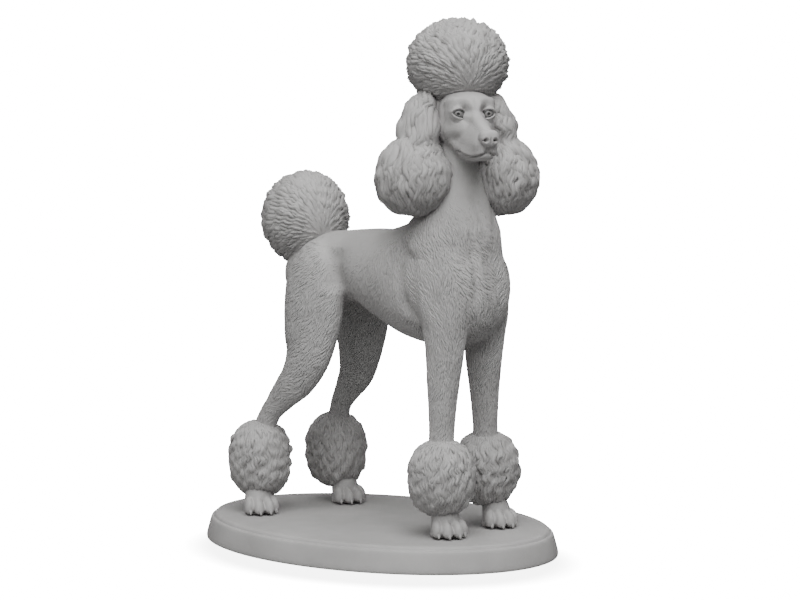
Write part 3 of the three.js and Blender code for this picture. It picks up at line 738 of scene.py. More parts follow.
# %% Skin: muscles and folds of the body
BODY_CUTS = [  # a negative depth is a muscle that stands out
    ([(18, -40, 160), (25, -34, 150), (26, -34, 138), (25, -37, 124), (22, -42, 112)], 3.6, 2.2, 0.25),
    ([(26, -48, 150), (27, -48, 138), (25, -50, 126), (22, -54, 112)], 5.0, -0.9, 0.35),
    ([(12, -68, 160), (13, -74, 148), (13, -76, 134), (12, -72, 120)], 2.8, 1.5, 0.3),
    ([(7, -66, 178), (5, -70, 168), (3, -74, 156)], 2.0, 0.9, 0.35),
    ([(17, 11, 150), (20, 11, 138), (21, 10, 126)], 5.5, 1.9, 0.3),
    ([(28, 34, 104), (28, 40, 94), (27, 46, 84)], 2.6, 0.6, 0.35),
    ([(26, 50, 74), (27, 54, 66), (27, 57, 60)], 1.3, 0.8, 0.3),
    ([(20, 48, 74), (20, 52, 66), (21, 56, 60)], 1.3, 0.7, 0.3),
    ([(23, -50, 106), (22, -49, 98), (22, -50, 88)], 2.2, 0.6, 0.35),
]
BREASTBONE = ([(0, -78, 150), (0, -78, 136), (0, -74, 122)], 4.0, -0.7, 0.35)

normals = normals_of(skin)
points = cut_both(points_of(skin), normals, BODY_CUTS)
put_points(skin, cut(points, normals, *BREASTBONE))

# %% Skin: finish
skin_nodes = ["torso", "neck", "head", "lower_jaw", "tail", *["leg_" + name for name in LEGS]]
finish_piece("skin", skin, skin_resin, skin_nodes)

# %% [markdown]
# ## Locks
# Carved curls are not single hairs. The sculptor cuts leaf-shaped locks, thin at the root, widest past the
# middle and pointed at the tip, each with two grooves that stand for strands. Locks overlap like shingles,
# because each root is sunk under the tips before it. All locks of a piece are one array: lock, ring along
# it, point round it.

# %% Locks along paths
LOCK_PROFILE = np.array([  # across, up: three strands with two grooves between them, and a keel below
    (-1, -0.7), (-0.66, 0.45), (-0.34, 0.4), (0.02, 1), (0.36, 0.5), (0.7, 0.5), (1, -0.7), (0, -1.1),
])


def ringed(paths, across, up, half_widths, heights, profile, root, tip):
    """Ring point k = path + across * half width * a_k + up * height * b_k, with a and b from the profile, and
    both ends close in one point. Gives points, quads, end triangles, and the points' places on their lock:
    how far across and along it, in mm."""
    count, rings, _ = paths.shape
    sides = len(profile)
    a, b = profile.T
    wide = half_widths[:, :, None] * a
    body = (paths[:, :, None] + across[:, :, None] * wide[..., None]
            + up[:, :, None] * (heights[:, :, None] * b)[..., None])
    points = np.concatenate([body.reshape(count, -1, 3), root[:, None], tip[:, None]], 1)
    length = np.cumsum(np.linalg.norm(np.diff(paths, axis=1, prepend=paths[:, :1]), axis=-1), 1)
    ends = np.zeros((count, 2))
    strand = np.stack([np.concatenate([wide.reshape(count, -1), ends], 1),
                       np.concatenate([np.repeat(length, sides, 1), ends + (0, 1) * length[:, -1:]], 1)], -1)
    start = np.arange(count)[:, None, None] * (rings * sides + 2)
    quads = start + grid_faces(rings, sides)
    k = np.arange(sides)
    after = (k + 1) % sides
    last = (rings - 1) * sides
    root_fan = np.stack([after, k, 0 * k + rings * sides], -1)
    tip_fan = np.stack([last + k, last + after, 0 * k + rings * sides + 1], -1)
    fans = start + np.concatenate([root_fan, tip_fan])
    return points.reshape(-1, 3), quads.reshape(-1, 4), fans.reshape(-1, 3), strand


def lock_mesh(paths, normals, half_widths, heights):
    """Locks along their paths, each closed a little before its root and beyond its tip."""
    along = unit(np.gradient(paths, axis=1))
    across = unit(np.cross(along, normals))
    root = paths[:, 0] - along[:, 0] * half_widths[:, :1] * 0.6
    tip = paths[:, -1] + along[:, -1] * half_widths[:, -1:] * 0.9
    return ringed(paths, across, np.cross(across, along), half_widths, heights, LOCK_PROFILE, root, tip)


# %% [markdown]
# ## Pompons
# The topknot, the tail ball and the four bracelets are combed over an ovoid. The hair leaves a source, where
# the ball grows from, and ends at a sink on the far or hidden side. A direction field from source to sink
# lays every lock, so one function makes all six with different numbers.

# %% Pompon of locks
def even_directions(count, random):
    """Points spread evenly over the unit sphere on a spiral of golden-angle steps, each moved a little."""
    i = np.arange(count) + 0.5
    height = 1 - 2 * i / count
    angle = i * math.pi * (3 - math.sqrt(5))
    flat = np.sqrt(1 - height**2)
    spread = np.stack([flat * np.cos(angle), flat * np.sin(angle), height], -1)
    return unit(spread + random.normal(0, 0.28 / math.sqrt(count), spread.shape))


def combed(directions, source, sink):
    """Tangent field on the unit sphere: away from the source and towards the sink, each fading far off."""
    from_source = directions - source
    to_sink = sink - directions
    field = (from_source / np.sum(from_source**2, -1, keepdims=True)
             + to_sink / np.sum(to_sink**2, -1, keepdims=True))
    return unit(field - directions * np.sum(field * directions, -1, keepdims=True))


def sphere_uv(directions):
    """Longitude and height of a direction, both from 0 to 1: the unwrap of a ball."""
    return np.stack([np.arctan2(directions[..., 1], directions[..., 0]) / (2 * np.pi) + 0.5,
                     directions[..., 2] / 2 + 0.5], -1)


PATCH = 0.003  # size of one lock's patch on the bake map


def set_bake_map(mesh, root_uv, strand, core_uv):
    """Writes the bake map, with one small patch for each lock at its root's place."""
    half_width = np.abs(strand[..., 0]).max(1, keepdims=True) + 1e-6
    length = strand[..., 1].max(1, keepdims=True) + 1e-6
    patch = np.stack([strand[..., 0] / half_width / 2, strand[..., 1] / length - 0.5], -1) * PATCH
    uv = np.concatenate([(root_uv[:, None] + patch).reshape(-1, 2), core_uv])
    corner = values_of(mesh.loops, "vertex_index", 1).ravel()
    layer = mesh.uv_layers.new(name="OFBake")
    layer.data.foreach_set("uv", np.clip(uv[corner], 0, 1).astype(np.float32).ravel())


def coat_piece(name, nodes, locks, core, root_uv, core_uv, place):
    """One mesh of the locks and of the closed core that they sit on, with its points put in place."""
    points, quads, fans, strand = locks
    core_points, core_faces = core
    mesh = bpy.data.meshes.new(name)
    fill_mesh(mesh, place(np.concatenate([points, core_points])), quads, core_faces + len(points), fans)
    set_bake_map(mesh, root_uv, strand, core_uv)
    return finish_piece(name, mesh, coat_resin, nodes)


def mottle(places, pitch, seed):
    """Smooth random hills about one pitch apart, from about -1 to 1: eight waves in random directions."""
    random = np.random.default_rng(seed)
    waves = unit(random.normal(size=(8, 3))) * 2 * np.pi / pitch
    return np.cos(places @ waves.T + random.uniform(0, 2 * np.pi, 8)).sum(-1) / 2.4


def squared(way, power):
    """The point of a squared ball, |x|^p + |y|^p + |z|^p = 1, in each direction. Power 2 leaves it round."""
    return way * (np.abs(way)**power).sum(-1, keepdims=True) ** (-1 / power)


CURL_PITCH = 7.5  # mm from wave to wave along the hair
CLUMP_PITCH = 5.0  # mm from curl to curl
CLUMP = 0.5  # mm that a curl stands out
CORE_SHARE = 0.96  # size of the core under the locks, as a part of the ball's
CORE_GRID = (41, 64)


def pompon(name, nodes, centre, radii, source, sink, count, length, half_width, height, wave, calm,
           seed, place=np.asarray, rings=8, power=2.0):
    """Lock i starts at an even direction, walks the combed field for its length in equal steps, and sways
    across it by wave * sin. Its path stands off the ovoid, least at its two ends. Within calm[0] radians of
    the source the locks are short and straight, and beyond calm[1] they are full."""
    random = np.random.default_rng(seed)
    radii = np.asarray(radii, float)
    source, sink = unit(np.asarray(source, float)), unit(np.asarray(sink, float))
    root = even_directions(count, random)
    away = np.arccos(np.clip(root @ source, -1, 1))
    grown = smoothstep(*calm, away)
    lengths = length * random.uniform(0.7, 1.25, count) * (0.5 + 0.5 * grown)
    t = np.linspace(0, 1, rings)
    walk = np.empty((count, rings, 3))
    walk[:, 0] = root
    mean_radius = radii.mean()
    for k in range(1, rings):
        step = combed(walk[:, k - 1], source, sink) * (lengths / mean_radius / (rings - 1))[:, None]
        walk[:, k] = unit(walk[:, k - 1] + step)
    field = combed(walk, source, sink)
    travelled = mean_radius * np.arccos(np.clip(walk @ source, -1, 1))
    phase = travelled / CURL_PITCH + 0.35 * mottle(walk, 0.9, seed)
    full = smoothstep(calm[0], calm[1] + 0.4, travelled / mean_radius)
    sway = wave * full * (1 + 0.4 * mottle(walk, 1.1, seed + 1)) * np.sin(2 * np.pi * phase)
    lean = random.normal(0, 0.07, count)[:, None] * t * lengths[:, None]
    walk = unit(walk + np.cross(walk, field) * ((sway + lean) / mean_radius)[..., None])
    shape = height * (0.4 + 0.6 * grown) * random.uniform(0.75, 1.25, count)
    rise = np.interp(t, [0, 0.3, 0.7, 1], [-0.5, 0.1, 0.5, -0.35]) * shape[:, None]
    way = squared(walk, power)
    normals = unit(np.sign(way) * np.abs(way)**(power - 1) / radii)
    paths = way * radii * CORE_SHARE
    rise = rise + CLUMP * mottle(paths, CLUMP_PITCH, seed + 50) * (0.2 + 0.8 * grown)[:, None]
    paths = paths + normals * rise[..., None]
    widths = np.interp(t, [0, 0.25, 0.55, 0.85, 1], [0.5, 0.95, 1.0, 0.6, 0.15])
    widths = half_width * (0.55 + 0.45 * grown)[:, None] * widths * random.uniform(0.7, 1.3, count)[:, None]
    crown = np.interp(t, [0, 0.4, 0.8, 1], [0.5, 1.0, 0.8, 0.15]) * shape[:, None] * 0.75
    locks = lock_mesh(paths + centre, normals, widths, crown)
    ball, faces = ball_grid(*CORE_GRID, (0, 0, 1), (1, 0, 0), (0, 1, 0))
    core = squared(ball, power) * radii * CORE_SHARE + centre, faces[:, ::-1]
    return coat_piece(name, nodes, locks, core, sphere_uv(root), sphere_uv(ball), place)


# %% Topknot and tail ball
pompon("topknot_locks", ["topknot"], (0, 10.5, 240), (24.9, 24.9, 21.6), source=(0, -0.78, -0.63),
       sink=(0, 0.6, -0.8), count=1350, length=12, half_width=1.3, height=1.3, wave=0.9, calm=(0.25, 1.0),
       seed=11, place=turned)
pompon("tail_ball_locks", ["tail_ball"], (0, 50.8, 162.6), (21.8, 22.6, 23.6), source=(-0.33, -0.84, -0.38),
       sink=(0.1, 0.45, -0.88), count=1200, length=11, half_width=1.3, height=1.3, wave=0.7,
       calm=(0.3, 1.2), seed=12)

# %% Bracelets
for seed, (name, leg) in enumerate(LEGS.items(), start=21):
    half = (15.2, 15.2, 18.7) if name.startswith("fore") else (14.4, 15.0, 20.0)
    pompon(f"bracelet_{name}", [f"leg_ball_{name}"], leg["ball"], half, source=(0, 0, 1), sink=(0, 0, -1),
           count=760, length=7.5, half_width=1.0, height=1.1, wave=0.7, calm=(0.4, 0.9), seed=seed,
           power=2.35)

# %% [markdown]
# ## Ears
# The ear leather itself is hidden. What shows is its feathering: long wavy locks that hang from beside the
# hairline to a ball of hair, which is the wide end of the same loft with shorter locks. The locks run down
# the loft and sway round it together, so that their waves lie side by side as in combed hair.

# %% Ears
EAR_SWAY = -2.2  # mm that both ears swing to the dog's right
EAR = np.array([
    (13, 7, 225.5, 0, 0), (15.6, 7, 221, 4.6, 6.4), (17.8, 6.6, 217, 6.6, 8.8), (19.1, 5.2, 209, 9, 11.2),
    (20.3, 4.2, 201, 9, 11.2), (21, 3.8, 197, 12.2, 12.6), (21.6, 3.6, 192.6, 16, 15.6),
    (21.8, 3.5, 185.6, 18.4, 18), (21.8, 3.5, 177.4, 16.9, 16.5), (21.8, 3.5, 171.8, 12.4, 12.2),
    (21.8, 3.5, 168.6, 0, 0),
])
BALL_STARTS = 4.6  # counted in stations: where the feathering ends and the ball begins
BALL_ENDS = 9.8
EAR_CORE_SHARE = 0.93  # size of the core under the hanging locks, as a part of the loft's
CORE_SIDES = 40
GOLDEN_SHARE = 0.618034  # of a turn, from each lock's root to the next


def hanging(name, nodes, stations, first, last, count, length, half_width, height, wave, curl, seed,
            rings=12):
    """A lock starts at a place (s, angle) on the loft, with s in mm down its side, runs down for its length,
    and sways round it by wave * sin(2 pi (s / curl + noise)), so that neighbours sway alike."""
    random = np.random.default_rng(seed)
    t_all = np.linspace(0, len(stations) - 1, 400)
    middle, half, across, _ = spine(stations, t_all)
    side_line = middle + across * half[:, :1]
    s_all = np.concatenate([[0], np.cumsum(np.linalg.norm(np.diff(side_line, axis=0), axis=1))])
    inside = (t_all >= first) & (t_all <= last)
    share = np.cumsum(np.where(inside, np.maximum(half.mean(1), 6) * np.gradient(s_all), 0))
    i = np.arange(count)
    start = np.interp((i + 0.5) / count, share / share[-1], s_all)
    angle = 2 * np.pi * (i * GOLDEN_SHARE % 1) + random.normal(0, 0.06, count)
    t = np.linspace(0, 1, rings)
    s = start[:, None] + length * random.uniform(0.7, 1.2, (count, 1)) * t
    down = np.interp(s, s_all, t_all)
    middle, half, across, deep = spine(stations, down.ravel())
    size = np.maximum(half.mean(1), 4.0)
    plain = angle[:, None] + np.zeros((count, rings))
    ring_place = middle + across * np.cos(plain.ravel())[:, None] * size[:, None]
    noise = mottle(ring_place, 22.0, seed)
    sway = wave * np.sin(2 * np.pi * (s.ravel() / curl + 0.4 * noise)) / size
    theta = plain.ravel() + sway + (random.normal(0, 0.9, (count, 1)) * t).ravel() / size
    out = across * (np.cos(theta) * half[:, 0])[:, None] + deep * (np.sin(theta) * half[:, 1])[:, None]
    surface = (middle + out * EAR_CORE_SHARE).reshape(count, rings, 3)
    sideways = deep * (np.cos(theta) * half[:, 1])[:, None] - across * (np.sin(theta) * half[:, 0])[:, None]
    normals = unit(np.cross(sideways.reshape(count, rings, 3), np.gradient(surface, axis=1)))
    normals *= np.sign(np.sum(normals * out.reshape(count, rings, 3)))
    tall = height * random.uniform(0.75, 1.25, (count, 1))
    rise = tall * np.interp(t, [0, 0.25, 0.7, 1], [-0.5, 0.1, 0.45, -0.2])
    paths = surface + normals * (rise + 0.4 * mottle(surface, 9.0, seed + 1))[..., None]
    widths = half_width * np.interp(t, [0, 0.2, 0.6, 0.9, 1], [0.5, 0.95, 1.0, 0.6, 0.2])
    widths = widths * random.uniform(0.7, 1.3, (count, 1))
    crown = 0.75 * tall * np.interp(t, [0, 0.3, 0.85, 1], [0.5, 1.0, 0.8, 0.3])
    core_stations = stations[int(first):int(np.ceil(last)) + 1].copy()
    core_stations[[0, -1], 3:] = 0
    core = loft(core_stations * (1, 1, 1, EAR_CORE_SHARE, EAR_CORE_SHARE), sides=CORE_SIDES)
    ring, place_in_ring = np.divmod(np.arange(len(core[0])), CORE_SIDES)
    core_uv = np.stack([place_in_ring / CORE_SIDES, ring * CORE_SIDES / len(core[0])], -1)
    root_uv = np.stack([angle / (2 * np.pi) % 1, start / s_all[-1]], -1)
    return coat_piece(name, nodes, lock_mesh(paths, normals, widths, crown), core, root_uv, core_uv, turned)


for side, side_name, seed in ((-1, "right", 31), (1, "left", 33)):
    stations = EAR * (side, 1, 1, 1, 1) + (EAR_SWAY, 0, 0, 0, 0)
    hanging(f"ear_{side_name}_locks", [f"ear_{side_name}"], stations, 0, BALL_STARTS, count=200,
            length=17, half_width=1.6, height=2.4, wave=1.3, curl=12, seed=seed)
    hanging(f"ear_ball_{side_name}_locks", [f"ear_ball_{side_name}"], stations, BALL_STARTS, BALL_ENDS,
            count=760, length=10, half_width=1.35, height=1.9, wave=0.8, curl=9, seed=seed + 1, rings=8)

# %% [markdown]
# ## Short coat: which way the hair lies
# Where the dog is clipped short, the sculptor nicked the clay with short strokes along the lie of the hair.
# The lie changes over the body: down and forward on the neck and shoulder, down and back on the ribs and the
# thigh, straight down the forelegs. A few places with known directions are enough, and every other point
# takes the mean of them, weighted by nearness. The same table says how deep the strokes are.

# %% Short coat: lie of the hair
LIE = np.array([  # place on the dog's left half, direction, depth of the strokes
    (8, -70, 184, 0.1, -0.5, -0.85, 0), (14, -54, 182, 0.1, -0.45, -0.9, 0.1),
    (8, -40, 180, 0.2, 0.2, -1, 0.1), (4, -76, 168, 0, -0.3, -0.95, 0.3),
    (21, -56, 156, 0.1, -0.72, -0.69, 1), (12, -72, 152, -0.4, -0.5, -0.75, 1),
    (5, -76, 136, -0.5, -0.3, -0.8, 1), (23, -42, 148, 0.1, -0.5, -0.85, 1),
    (24, -52, 132, 0.1, -0.5, -0.85, 1), (16, -70, 122, -0.5, 0, -0.85, 1),
    (24, -34, 136, 0, -0.33, -0.94, 0.8), (0, -64, 106, 0, 0.6, -0.4, 0.5),
    (25, -18, 140, 0, 0.5, -0.87, 0.55), (23, -14, 122, 0, 0.5, -0.87, 0.6), (10, -30, 104, 0, 1, -0.2, 0.4),
    (8, -20, 164, 0.3, 1, -0.1, 0.12), (20, 5, 150, 0.2, 0.8, -0.5, 0.2), (8, 18, 162, 0.2, 1, 0, 0.12),
    (19, 8, 132, 0, 0.4, -0.9, 0.4), (16, 38, 150, 0.3, 0.8, -0.5, 0.5), (6, 52, 146, 0.2, 0.6, -0.8, 0.5),
    (26, 30, 132, 0, 0.75, -0.66, 0.9), (28, 24, 112, 0, 0.75, -0.66, 1), (22, 44, 116, 0, 0.4, -0.9, 0.9),
    (28, 36, 88, 0, 0.85, -0.53, 1), (26, 50, 66, 0, 0.75, -0.66, 0.6), (14, 30, 108, 0, 0.4, -0.9, 0.6),
    (22, -58, 110, 0, -0.15, -0.99, 0.9), (14, -66, 106, 0, 0, -1, 0.9), (20, -60, 80, 0, -0.15, -0.99, 0.8),
    (17, -48, 84, 0, 0.3, -0.95, 0.8), (18, -60, 56, 0, -0.1, -0.99, 0.6),
], float)
LIE_REACH = 15.0  # mm within which a place counts most


def hair_lie(points, normals):
    """Mean of the table's directions and depths, each weighted by exp(-(distance / reach) squared) plus a
    little, mirrored for the right half, then laid flat on the surface. Gives unit directions and depths."""
    fold = np.where(points[:, :1] * (1, 0, 0) < 0, -1, 1)
    away = np.linalg.norm((points * fold)[:, None] - LIE[:, :3], axis=-1)
    share = np.exp(-(away / LIE_REACH) ** 2) + 1e-4 / (1 + away)
    mean = share @ LIE[:, 3:] / share.sum(1, keepdims=True)
    way = mean[:, :3] * fold
    way = way - normals * np.sum(way * normals, -1, keepdims=True)
    return unit(way), mean[:, 3]


# %% [markdown]
# ## Short coat: strokes
# Each stroke is a small leaf of clay that grows out of the skin and sinks back into it. Three rings of three
# points and two tips are enough, because there are thousands. Roots are spread over the skin by area, so
# every side of the dog is covered.

# %% Short coat: strokes
STROKE_PROFILE = np.array([(-1.0, -0.35), (0.0, 1.0), (1.0, -0.35)])  # across, up
STROKE_SPACING = 1.25  # mm
STROKE_LENGTH = 4.6
STROKE_HALF_WIDTH = 0.56
STROKE_HEIGHT = 0.15
STROKE_RINGS = np.array([0.12, 0.45, 0.8])  # where the rings are, from the root at 0 to the tip at 1
RING_LIFT = np.array([0.35, 0.9, 0.4])  # how far each ring's middle stands off the skin, in heights
RING_WIDTH = np.array([0.75, 1.0, 0.6])
RING_HEIGHT = np.array([0.6, 0.9, 0.5])
ROOTED_AT = 0.4  # the part of the stroke that lies behind its root


def skin_samples(mesh, spacing, chosen, seed):
    """Random places on the mesh, one for each spacing squared of the faces whose middles are chosen, as
    places and outward directions. A face gets its share of places by its area."""
    random = np.random.default_rng(seed)
    mesh.calc_loop_triangles()
    corner = values_of(mesh.loop_triangles, "vertices", 3)
    points, normals = points_of(mesh), normals_of(mesh)
    corner = corner[chosen(points[corner].mean(1))]
    a, b, c = points[corner[:, 0]], points[corner[:, 1]], points[corner[:, 2]]
    area = np.linalg.norm(np.cross(b - a, c - a), axis=1) / 2
    total = np.cumsum(area)
    count = int(total[-1] / spacing**2)
    pick = np.searchsorted(total, (np.arange(count) + random.uniform(0, 1, count)) / count * total[-1])
    pick = np.minimum(pick, len(area) - 1)
    u, v = random.uniform(0, 1, (2, count))
    u, v = np.where(u + v > 1, 1 - u, u), np.where(u + v > 1, 1 - v, v)
    weight = np.stack([1 - u - v, u, v], -1)[..., None]
    return (points[corner[pick]] * weight).sum(1), unit((normals[corner[pick]] * weight).sum(1))


def strokes(mesh, chosen, seed):
    """A stroke's path runs along the lie through its root, bends a little to one side, and rises off the skin
    and sinks again. Both its tips are below the skin. Gives the roots and all that stroke_piece needs."""
    random = np.random.default_rng(seed)
    root, up = skin_samples(mesh, STROKE_SPACING, chosen, seed)
    way, depth = hair_lie(root, up)
    keep = depth > random.uniform(0.08, 0.45, len(root))
    root, up, way, depth = root[keep], up[keep], way[keep], depth[keep]
    count = len(root)
    swirl = 0.35 * mottle(root, 14.0, seed) + random.normal(0, 0.16, count)
    way = unit(way + np.cross(up, way) * swirl[:, None])
    depth = depth[:, None]
    size = random.uniform(0.7, 1.3, (count, 1)) * (0.6 + 0.4 * depth)
    length, height = STROKE_LENGTH * size, STROKE_HEIGHT * size
    run = (STROKE_RINGS - ROOTED_AT) * length
    lift = height * (0.35 + 0.65 * depth) * RING_LIFT - 0.08
    bend = random.normal(0, 0.12, (count, 1)) * (STROKE_RINGS - ROOTED_AT) ** 2 * STROKE_LENGTH
    side = np.cross(up, way)
    path = (root[:, None] + way[:, None] * run[..., None] + up[:, None] * lift[..., None]
            + side[:, None] * bend[..., None])
    wide = STROKE_HALF_WIDTH * size * RING_WIDTH
    tall = height * RING_HEIGHT * (0.5 + 0.5 * depth)
    first = path[:, 0] - way * (0.16 * length) - up * 0.15
    final = path[:, -1] + way * (0.24 * length) - up * 0.2
    return root, path, side[:, None], up[:, None], wide, tall, first, final


def stroke_piece(name, unwrap, root, path, side, up, wide, tall, first, final):
    """One mesh of strokes, with its bake map."""
    *shape, strand = ringed(path, side, up, wide, tall, STROKE_PROFILE, first, final)
    made = bpy.data.meshes.new(name)
    fill_mesh(made, *shape)
    set_bake_map(made, unwrap(root), strand, np.zeros((0, 2)))
    finish_piece(name, made, coat_resin)


def unwrap_body(points):
    """Round the trunk's axis, and along it."""
    x, y, z = points.T
    return np.stack([np.arctan2(x, z - 135) / (2 * np.pi) + 0.5, (y + 90) / 160], -1)


def unwrap_legs(points):
    """Round each leg's own upright axis, and up it; the four legs take one quarter of the map each."""
    x, y, z = points.T
    right, hind = x < 0, y > 0
    turn = np.arctan2(np.abs(x) - 19, y - np.where(hind, 38, -57)) / (2 * np.pi) + 0.5
    return np.stack([(turn + right) / 2, (np.clip(z / 160, 0, 1) + hind) / 2], -1)


LEG_COAT = (52.0, 112.0)  # heights between which the strokes are drawn as the legs'
BODY_COAT_TOP = 192.0
COAT_BORDER = 117.0  # height of the border between the two pieces, each under 200,000 triangles


def in_body(points):
    """True on the trunk and the neck."""
    return (points[:, 2] > LEG_COAT[1]) & (points[:, 2] < BODY_COAT_TOP)


def in_legs(points):
    """True on the legs above their balls."""
    return (points[:, 2] > LEG_COAT[0]) & (points[:, 2] <= LEG_COAT[1])


drawn = strokes(skin, in_body, seed=41), strokes(skin, in_legs, seed=42)
drawn = [np.concatenate(parts) for parts in zip(*drawn)]
upper = drawn[0][:, 2] > COAT_BORDER
stroke_piece("short_coat_body", unwrap_body, *(part[upper] for part in drawn))
stroke_piece("short_coat_legs", unwrap_legs, *(part[~upper] for part in drawn))

# %% [markdown]
# ## Paws
# Below each bracelet the foot is shaved, so the toes are plain rounded forms with grooves between them. Four
# toe lofts and a pastern are remeshed into one skin with small voxels, which keeps the grooves sharp. The
# claws are separate tapered lofts that come out of the toe tips.

# %% Paws
SOLE = 13.1  # height of the foot's underside
PAW_VOXEL = 0.5
PASTERN = [(0, 4, 23, 0, 0), (0, 3.8, 17, 5.9, 5.7), (0, 3.2, 12, 6.3, 6), (0, 1.6, 8.4, 7, 6.8),
           (0, 1.4, 5, 7, 6.4), (0, 2, 0.5, 7.2, 5.4), (0, 2, 0.1, 0, 0)]
TOES = [(-6.9, -4, 2.1), (-2.75, -7.5, 2.45), (2.75, -7.5, 2.45), (6.9, -4, 2.1)]  # across, tip, half width


def toe(x, tip, half):
    """Loft of a toe: out of the foot, over the knuckle and down to the ground."""
    return loft([(x * 0.6, 3, 7.4, 0, 0), (x * 0.8, tip * 0.1, 6.8, 0.8 * half, 2.2),
                 (x * 0.94, tip * 0.45, 6.1, 0.95 * half, 3.2), (x, tip * 0.84, 4.1, half, 3.5),
                 (x, tip - 0.7, 2.2, 0.92 * half, 2.2), (x, tip - 1.5, 1.2, 0, 0)], sides=28, steps=6)


def claw(x, tip):
    """Loft of a claw: rooted in the toe's tip, curving down to a blunt end just above the ground."""
    return loft([(x, tip + 0.6, 3.6, 0, 0), (x, tip - 0.7, 3.3, 0.85, 1.0), (x, tip - 1.7, 2.3, 0.85, 0.9),
                 (x, tip - 2.2, 1.2, 0.65, 0.6), (x, tip - 2.3, 0.4, 0, 0)], sides=14, steps=4)


def standing(points, leg):
    """Turns foot points about the upright axis and puts them at the leg's paw, on the plinth."""
    angle = math.radians(leg["turn"])
    c, s = math.cos(angle), math.sin(angle)
    x, y, z = points.T
    return np.stack([c * x - s * y + leg["paw"][0], s * x + c * y + leg["paw"][1], z + SOLE], -1)


for name, leg in LEGS.items():
    points, faces = joined([loft(PASTERN, sides=36, steps=6), *[toe(*row) for row in TOES]])
    paw = remeshed("paw", standing(points, leg), faces, PAW_VOXEL)
    paw_points = melt(points_of(paw), edges_of(paw), 2)
    paw_points[:, 2] = np.maximum(paw_points[:, 2], SOLE)
    put_points(paw, paw_points)
    finish_piece(f"paw_skin_{name}", paw, skin_resin, [f"paw_{name}"])
    claw_points, claw_faces = joined([claw(x, tip) for x, tip, _ in TOES])
    make_piece(f"claws_{name}", standing(claw_points, leg), claw_faces, plain_resin)

# %% [markdown]
# ## Eyes
# The sculptor cuts a ring where the iris begins and a pit for the pupil, so that shadow draws them. Shade is
# painted on as well: the ball is darkened all over, as it lies deep under the lids, and most in the pupil, in
# the ring and along the lids' edges, where the lids cast shadow. The ball's radius depends only on the
# distance from the line of sight, and the painted shade on that distance and on how near the lids are.

# %% Eyes
GAZE = {"right": (-0.20, -0.98, 0.0), "left": (-0.04, -1.0, 0.02)}
IRIS_RADIUS = 2.1
PUPIL_RADIUS = 0.8
PAINTED_SHADE_BALL = 0.5  # the part of the resin's grey left on the ball by the painted shade
# what the painted shadow leaves in the pupil, in the iris ring and along the lids' edges
PAINTED_SHADE_HOLLOW = 0.08


def eyeball(centre, gaze, rows=72, columns=64):
    """Radius(arc from the gaze) = ball - groove at the iris's edge - pit at the pupil."""
    right = unit(np.cross(gaze, [0, 0, 1.0]))
    direction, faces = ball_grid(rows, columns, gaze, right, np.cross(right, gaze), 1.6)
    arc = EYE_RADIUS * np.arccos(np.clip(direction @ gaze, -1, 1))
    radius = (EYE_RADIUS - 0.2 * bell(arc, IRIS_RADIUS, 0.2)
              - 0.6 * (1 - smoothstep(PUPIL_RADIUS - 0.25, PUPIL_RADIUS + 0.1, arc)))
    return centre + direction * radius[:, None], faces


def painted_shade(points, side, gaze):
    """The part of the resin's grey that the painted shade leaves: least in the pupil, in the ring round the
    iris and along the lids' edges, where shadow falls.
    """
    arc = EYE_RADIUS * np.arccos(np.clip(unit(points - EYE_CENTRE * (side, 1, 1)) @ gaze, -1, 1))
    _, u, v = on_ball(points, side)
    clear = smoothstep(PUPIL_RADIUS - 0.15, PUPIL_RADIUS + 0.15, arc)
    clear *= smoothstep(-0.25, -0.75, lid_opening(u, v)[0])
    clear *= 1 - 0.6 * bell(arc, IRIS_RADIUS, 0.2)
    return PAINTED_SHADE_HOLLOW + (PAINTED_SHADE_BALL - PAINTED_SHADE_HOLLOW) * clear


for side, side_name in ((-1, "right"), (1, "left")):
    centre, gaze = EYE_CENTRE * (side, 1, 1), unit(np.array(GAZE[side_name]))
    points, faces = eyeball(centre, gaze)
    ball = make_piece(f"eyeball_{side_name}", turned(points), faces, eye_resin, [f"eye_{side_name}"])
    # the painted shade is kept on the ball's points as an attribute
    left = painted_shade(turned_back(points_of(ball.data)), side, gaze)
    layer = ball.data.attributes.new("painted_shade", "FLOAT_VECTOR", "POINT")
    layer.data.foreach_set("vector", np.repeat(left, 3).astype(np.float32))

# %% [markdown]
# ## Nose
# The nose leather is a rounded block, flat on top and narrower below, with comma-shaped nostrils and a
# groove down its middle. It is an ovoid pushed in by soft thumb-presses.

# %% Nose
NOSE_CENTRE = np.array([0, -37.8, 204.2])
NOSE_RADII = np.array([4.7, 3.9, 4.1])
NOSE_POWER = 2.9  # 2 is round, and more is boxy


def nose_surface(rows=90, columns=120):
    """A boxy ovoid, narrowed below, then dents: nostril, slit and middle groove, and the raised wing."""
    direction, faces = ball_grid(rows, columns, (0, -1, 0), (1, 0, 0), (0, 0, 1), 1.25)
    p = squared(direction, NOSE_POWER) * NOSE_RADII
    below = np.clip(-p[:, 2] / NOSE_RADII[2], 0, 1)
    p[:, 0] *= 1 - 0.28 * below
    front = smoothstep(0.0, 1.5, -p[:, 1])
    x, z = np.abs(p[:, 0]), p[:, 2]
    nostril = bell(x, 2.15, 0.72) * bell(z, -0.85, 0.68)
    slit = bell(x, 3.4, 0.9) * bell(z, -1.05, 0.36)
    wing = bell(np.hypot(x - 2.3, z + 0.7), 1.5, 0.5)
    groove = bell(x, 0, 0.32) * smoothstep(1.0, -1.0, z)
    p[:, 1] += front * (3.2 * nostril + 0.8 * slit + 0.6 * groove - 0.15 * wing)
    return turned(p + NOSE_CENTRE), faces


make_piece("nose_leather", *nose_surface(), skin_resin, ["nose"])

# %% [markdown]
# ## Floor and light
# The picture shows the figure on a white sweep that burns out to white, with a faint shadow at the plinth's
# foot. A photographer lights the sweep apart from the figure, so that it doesn't bounce light up into the
# dark hollows. Here the floor and the surroundings answer the lens brightly and the figure dimly. One wide
# soft lamp above the lens, a weaker one overhead and a faint one from the side draw the forms, and the
# undersides stay dark.

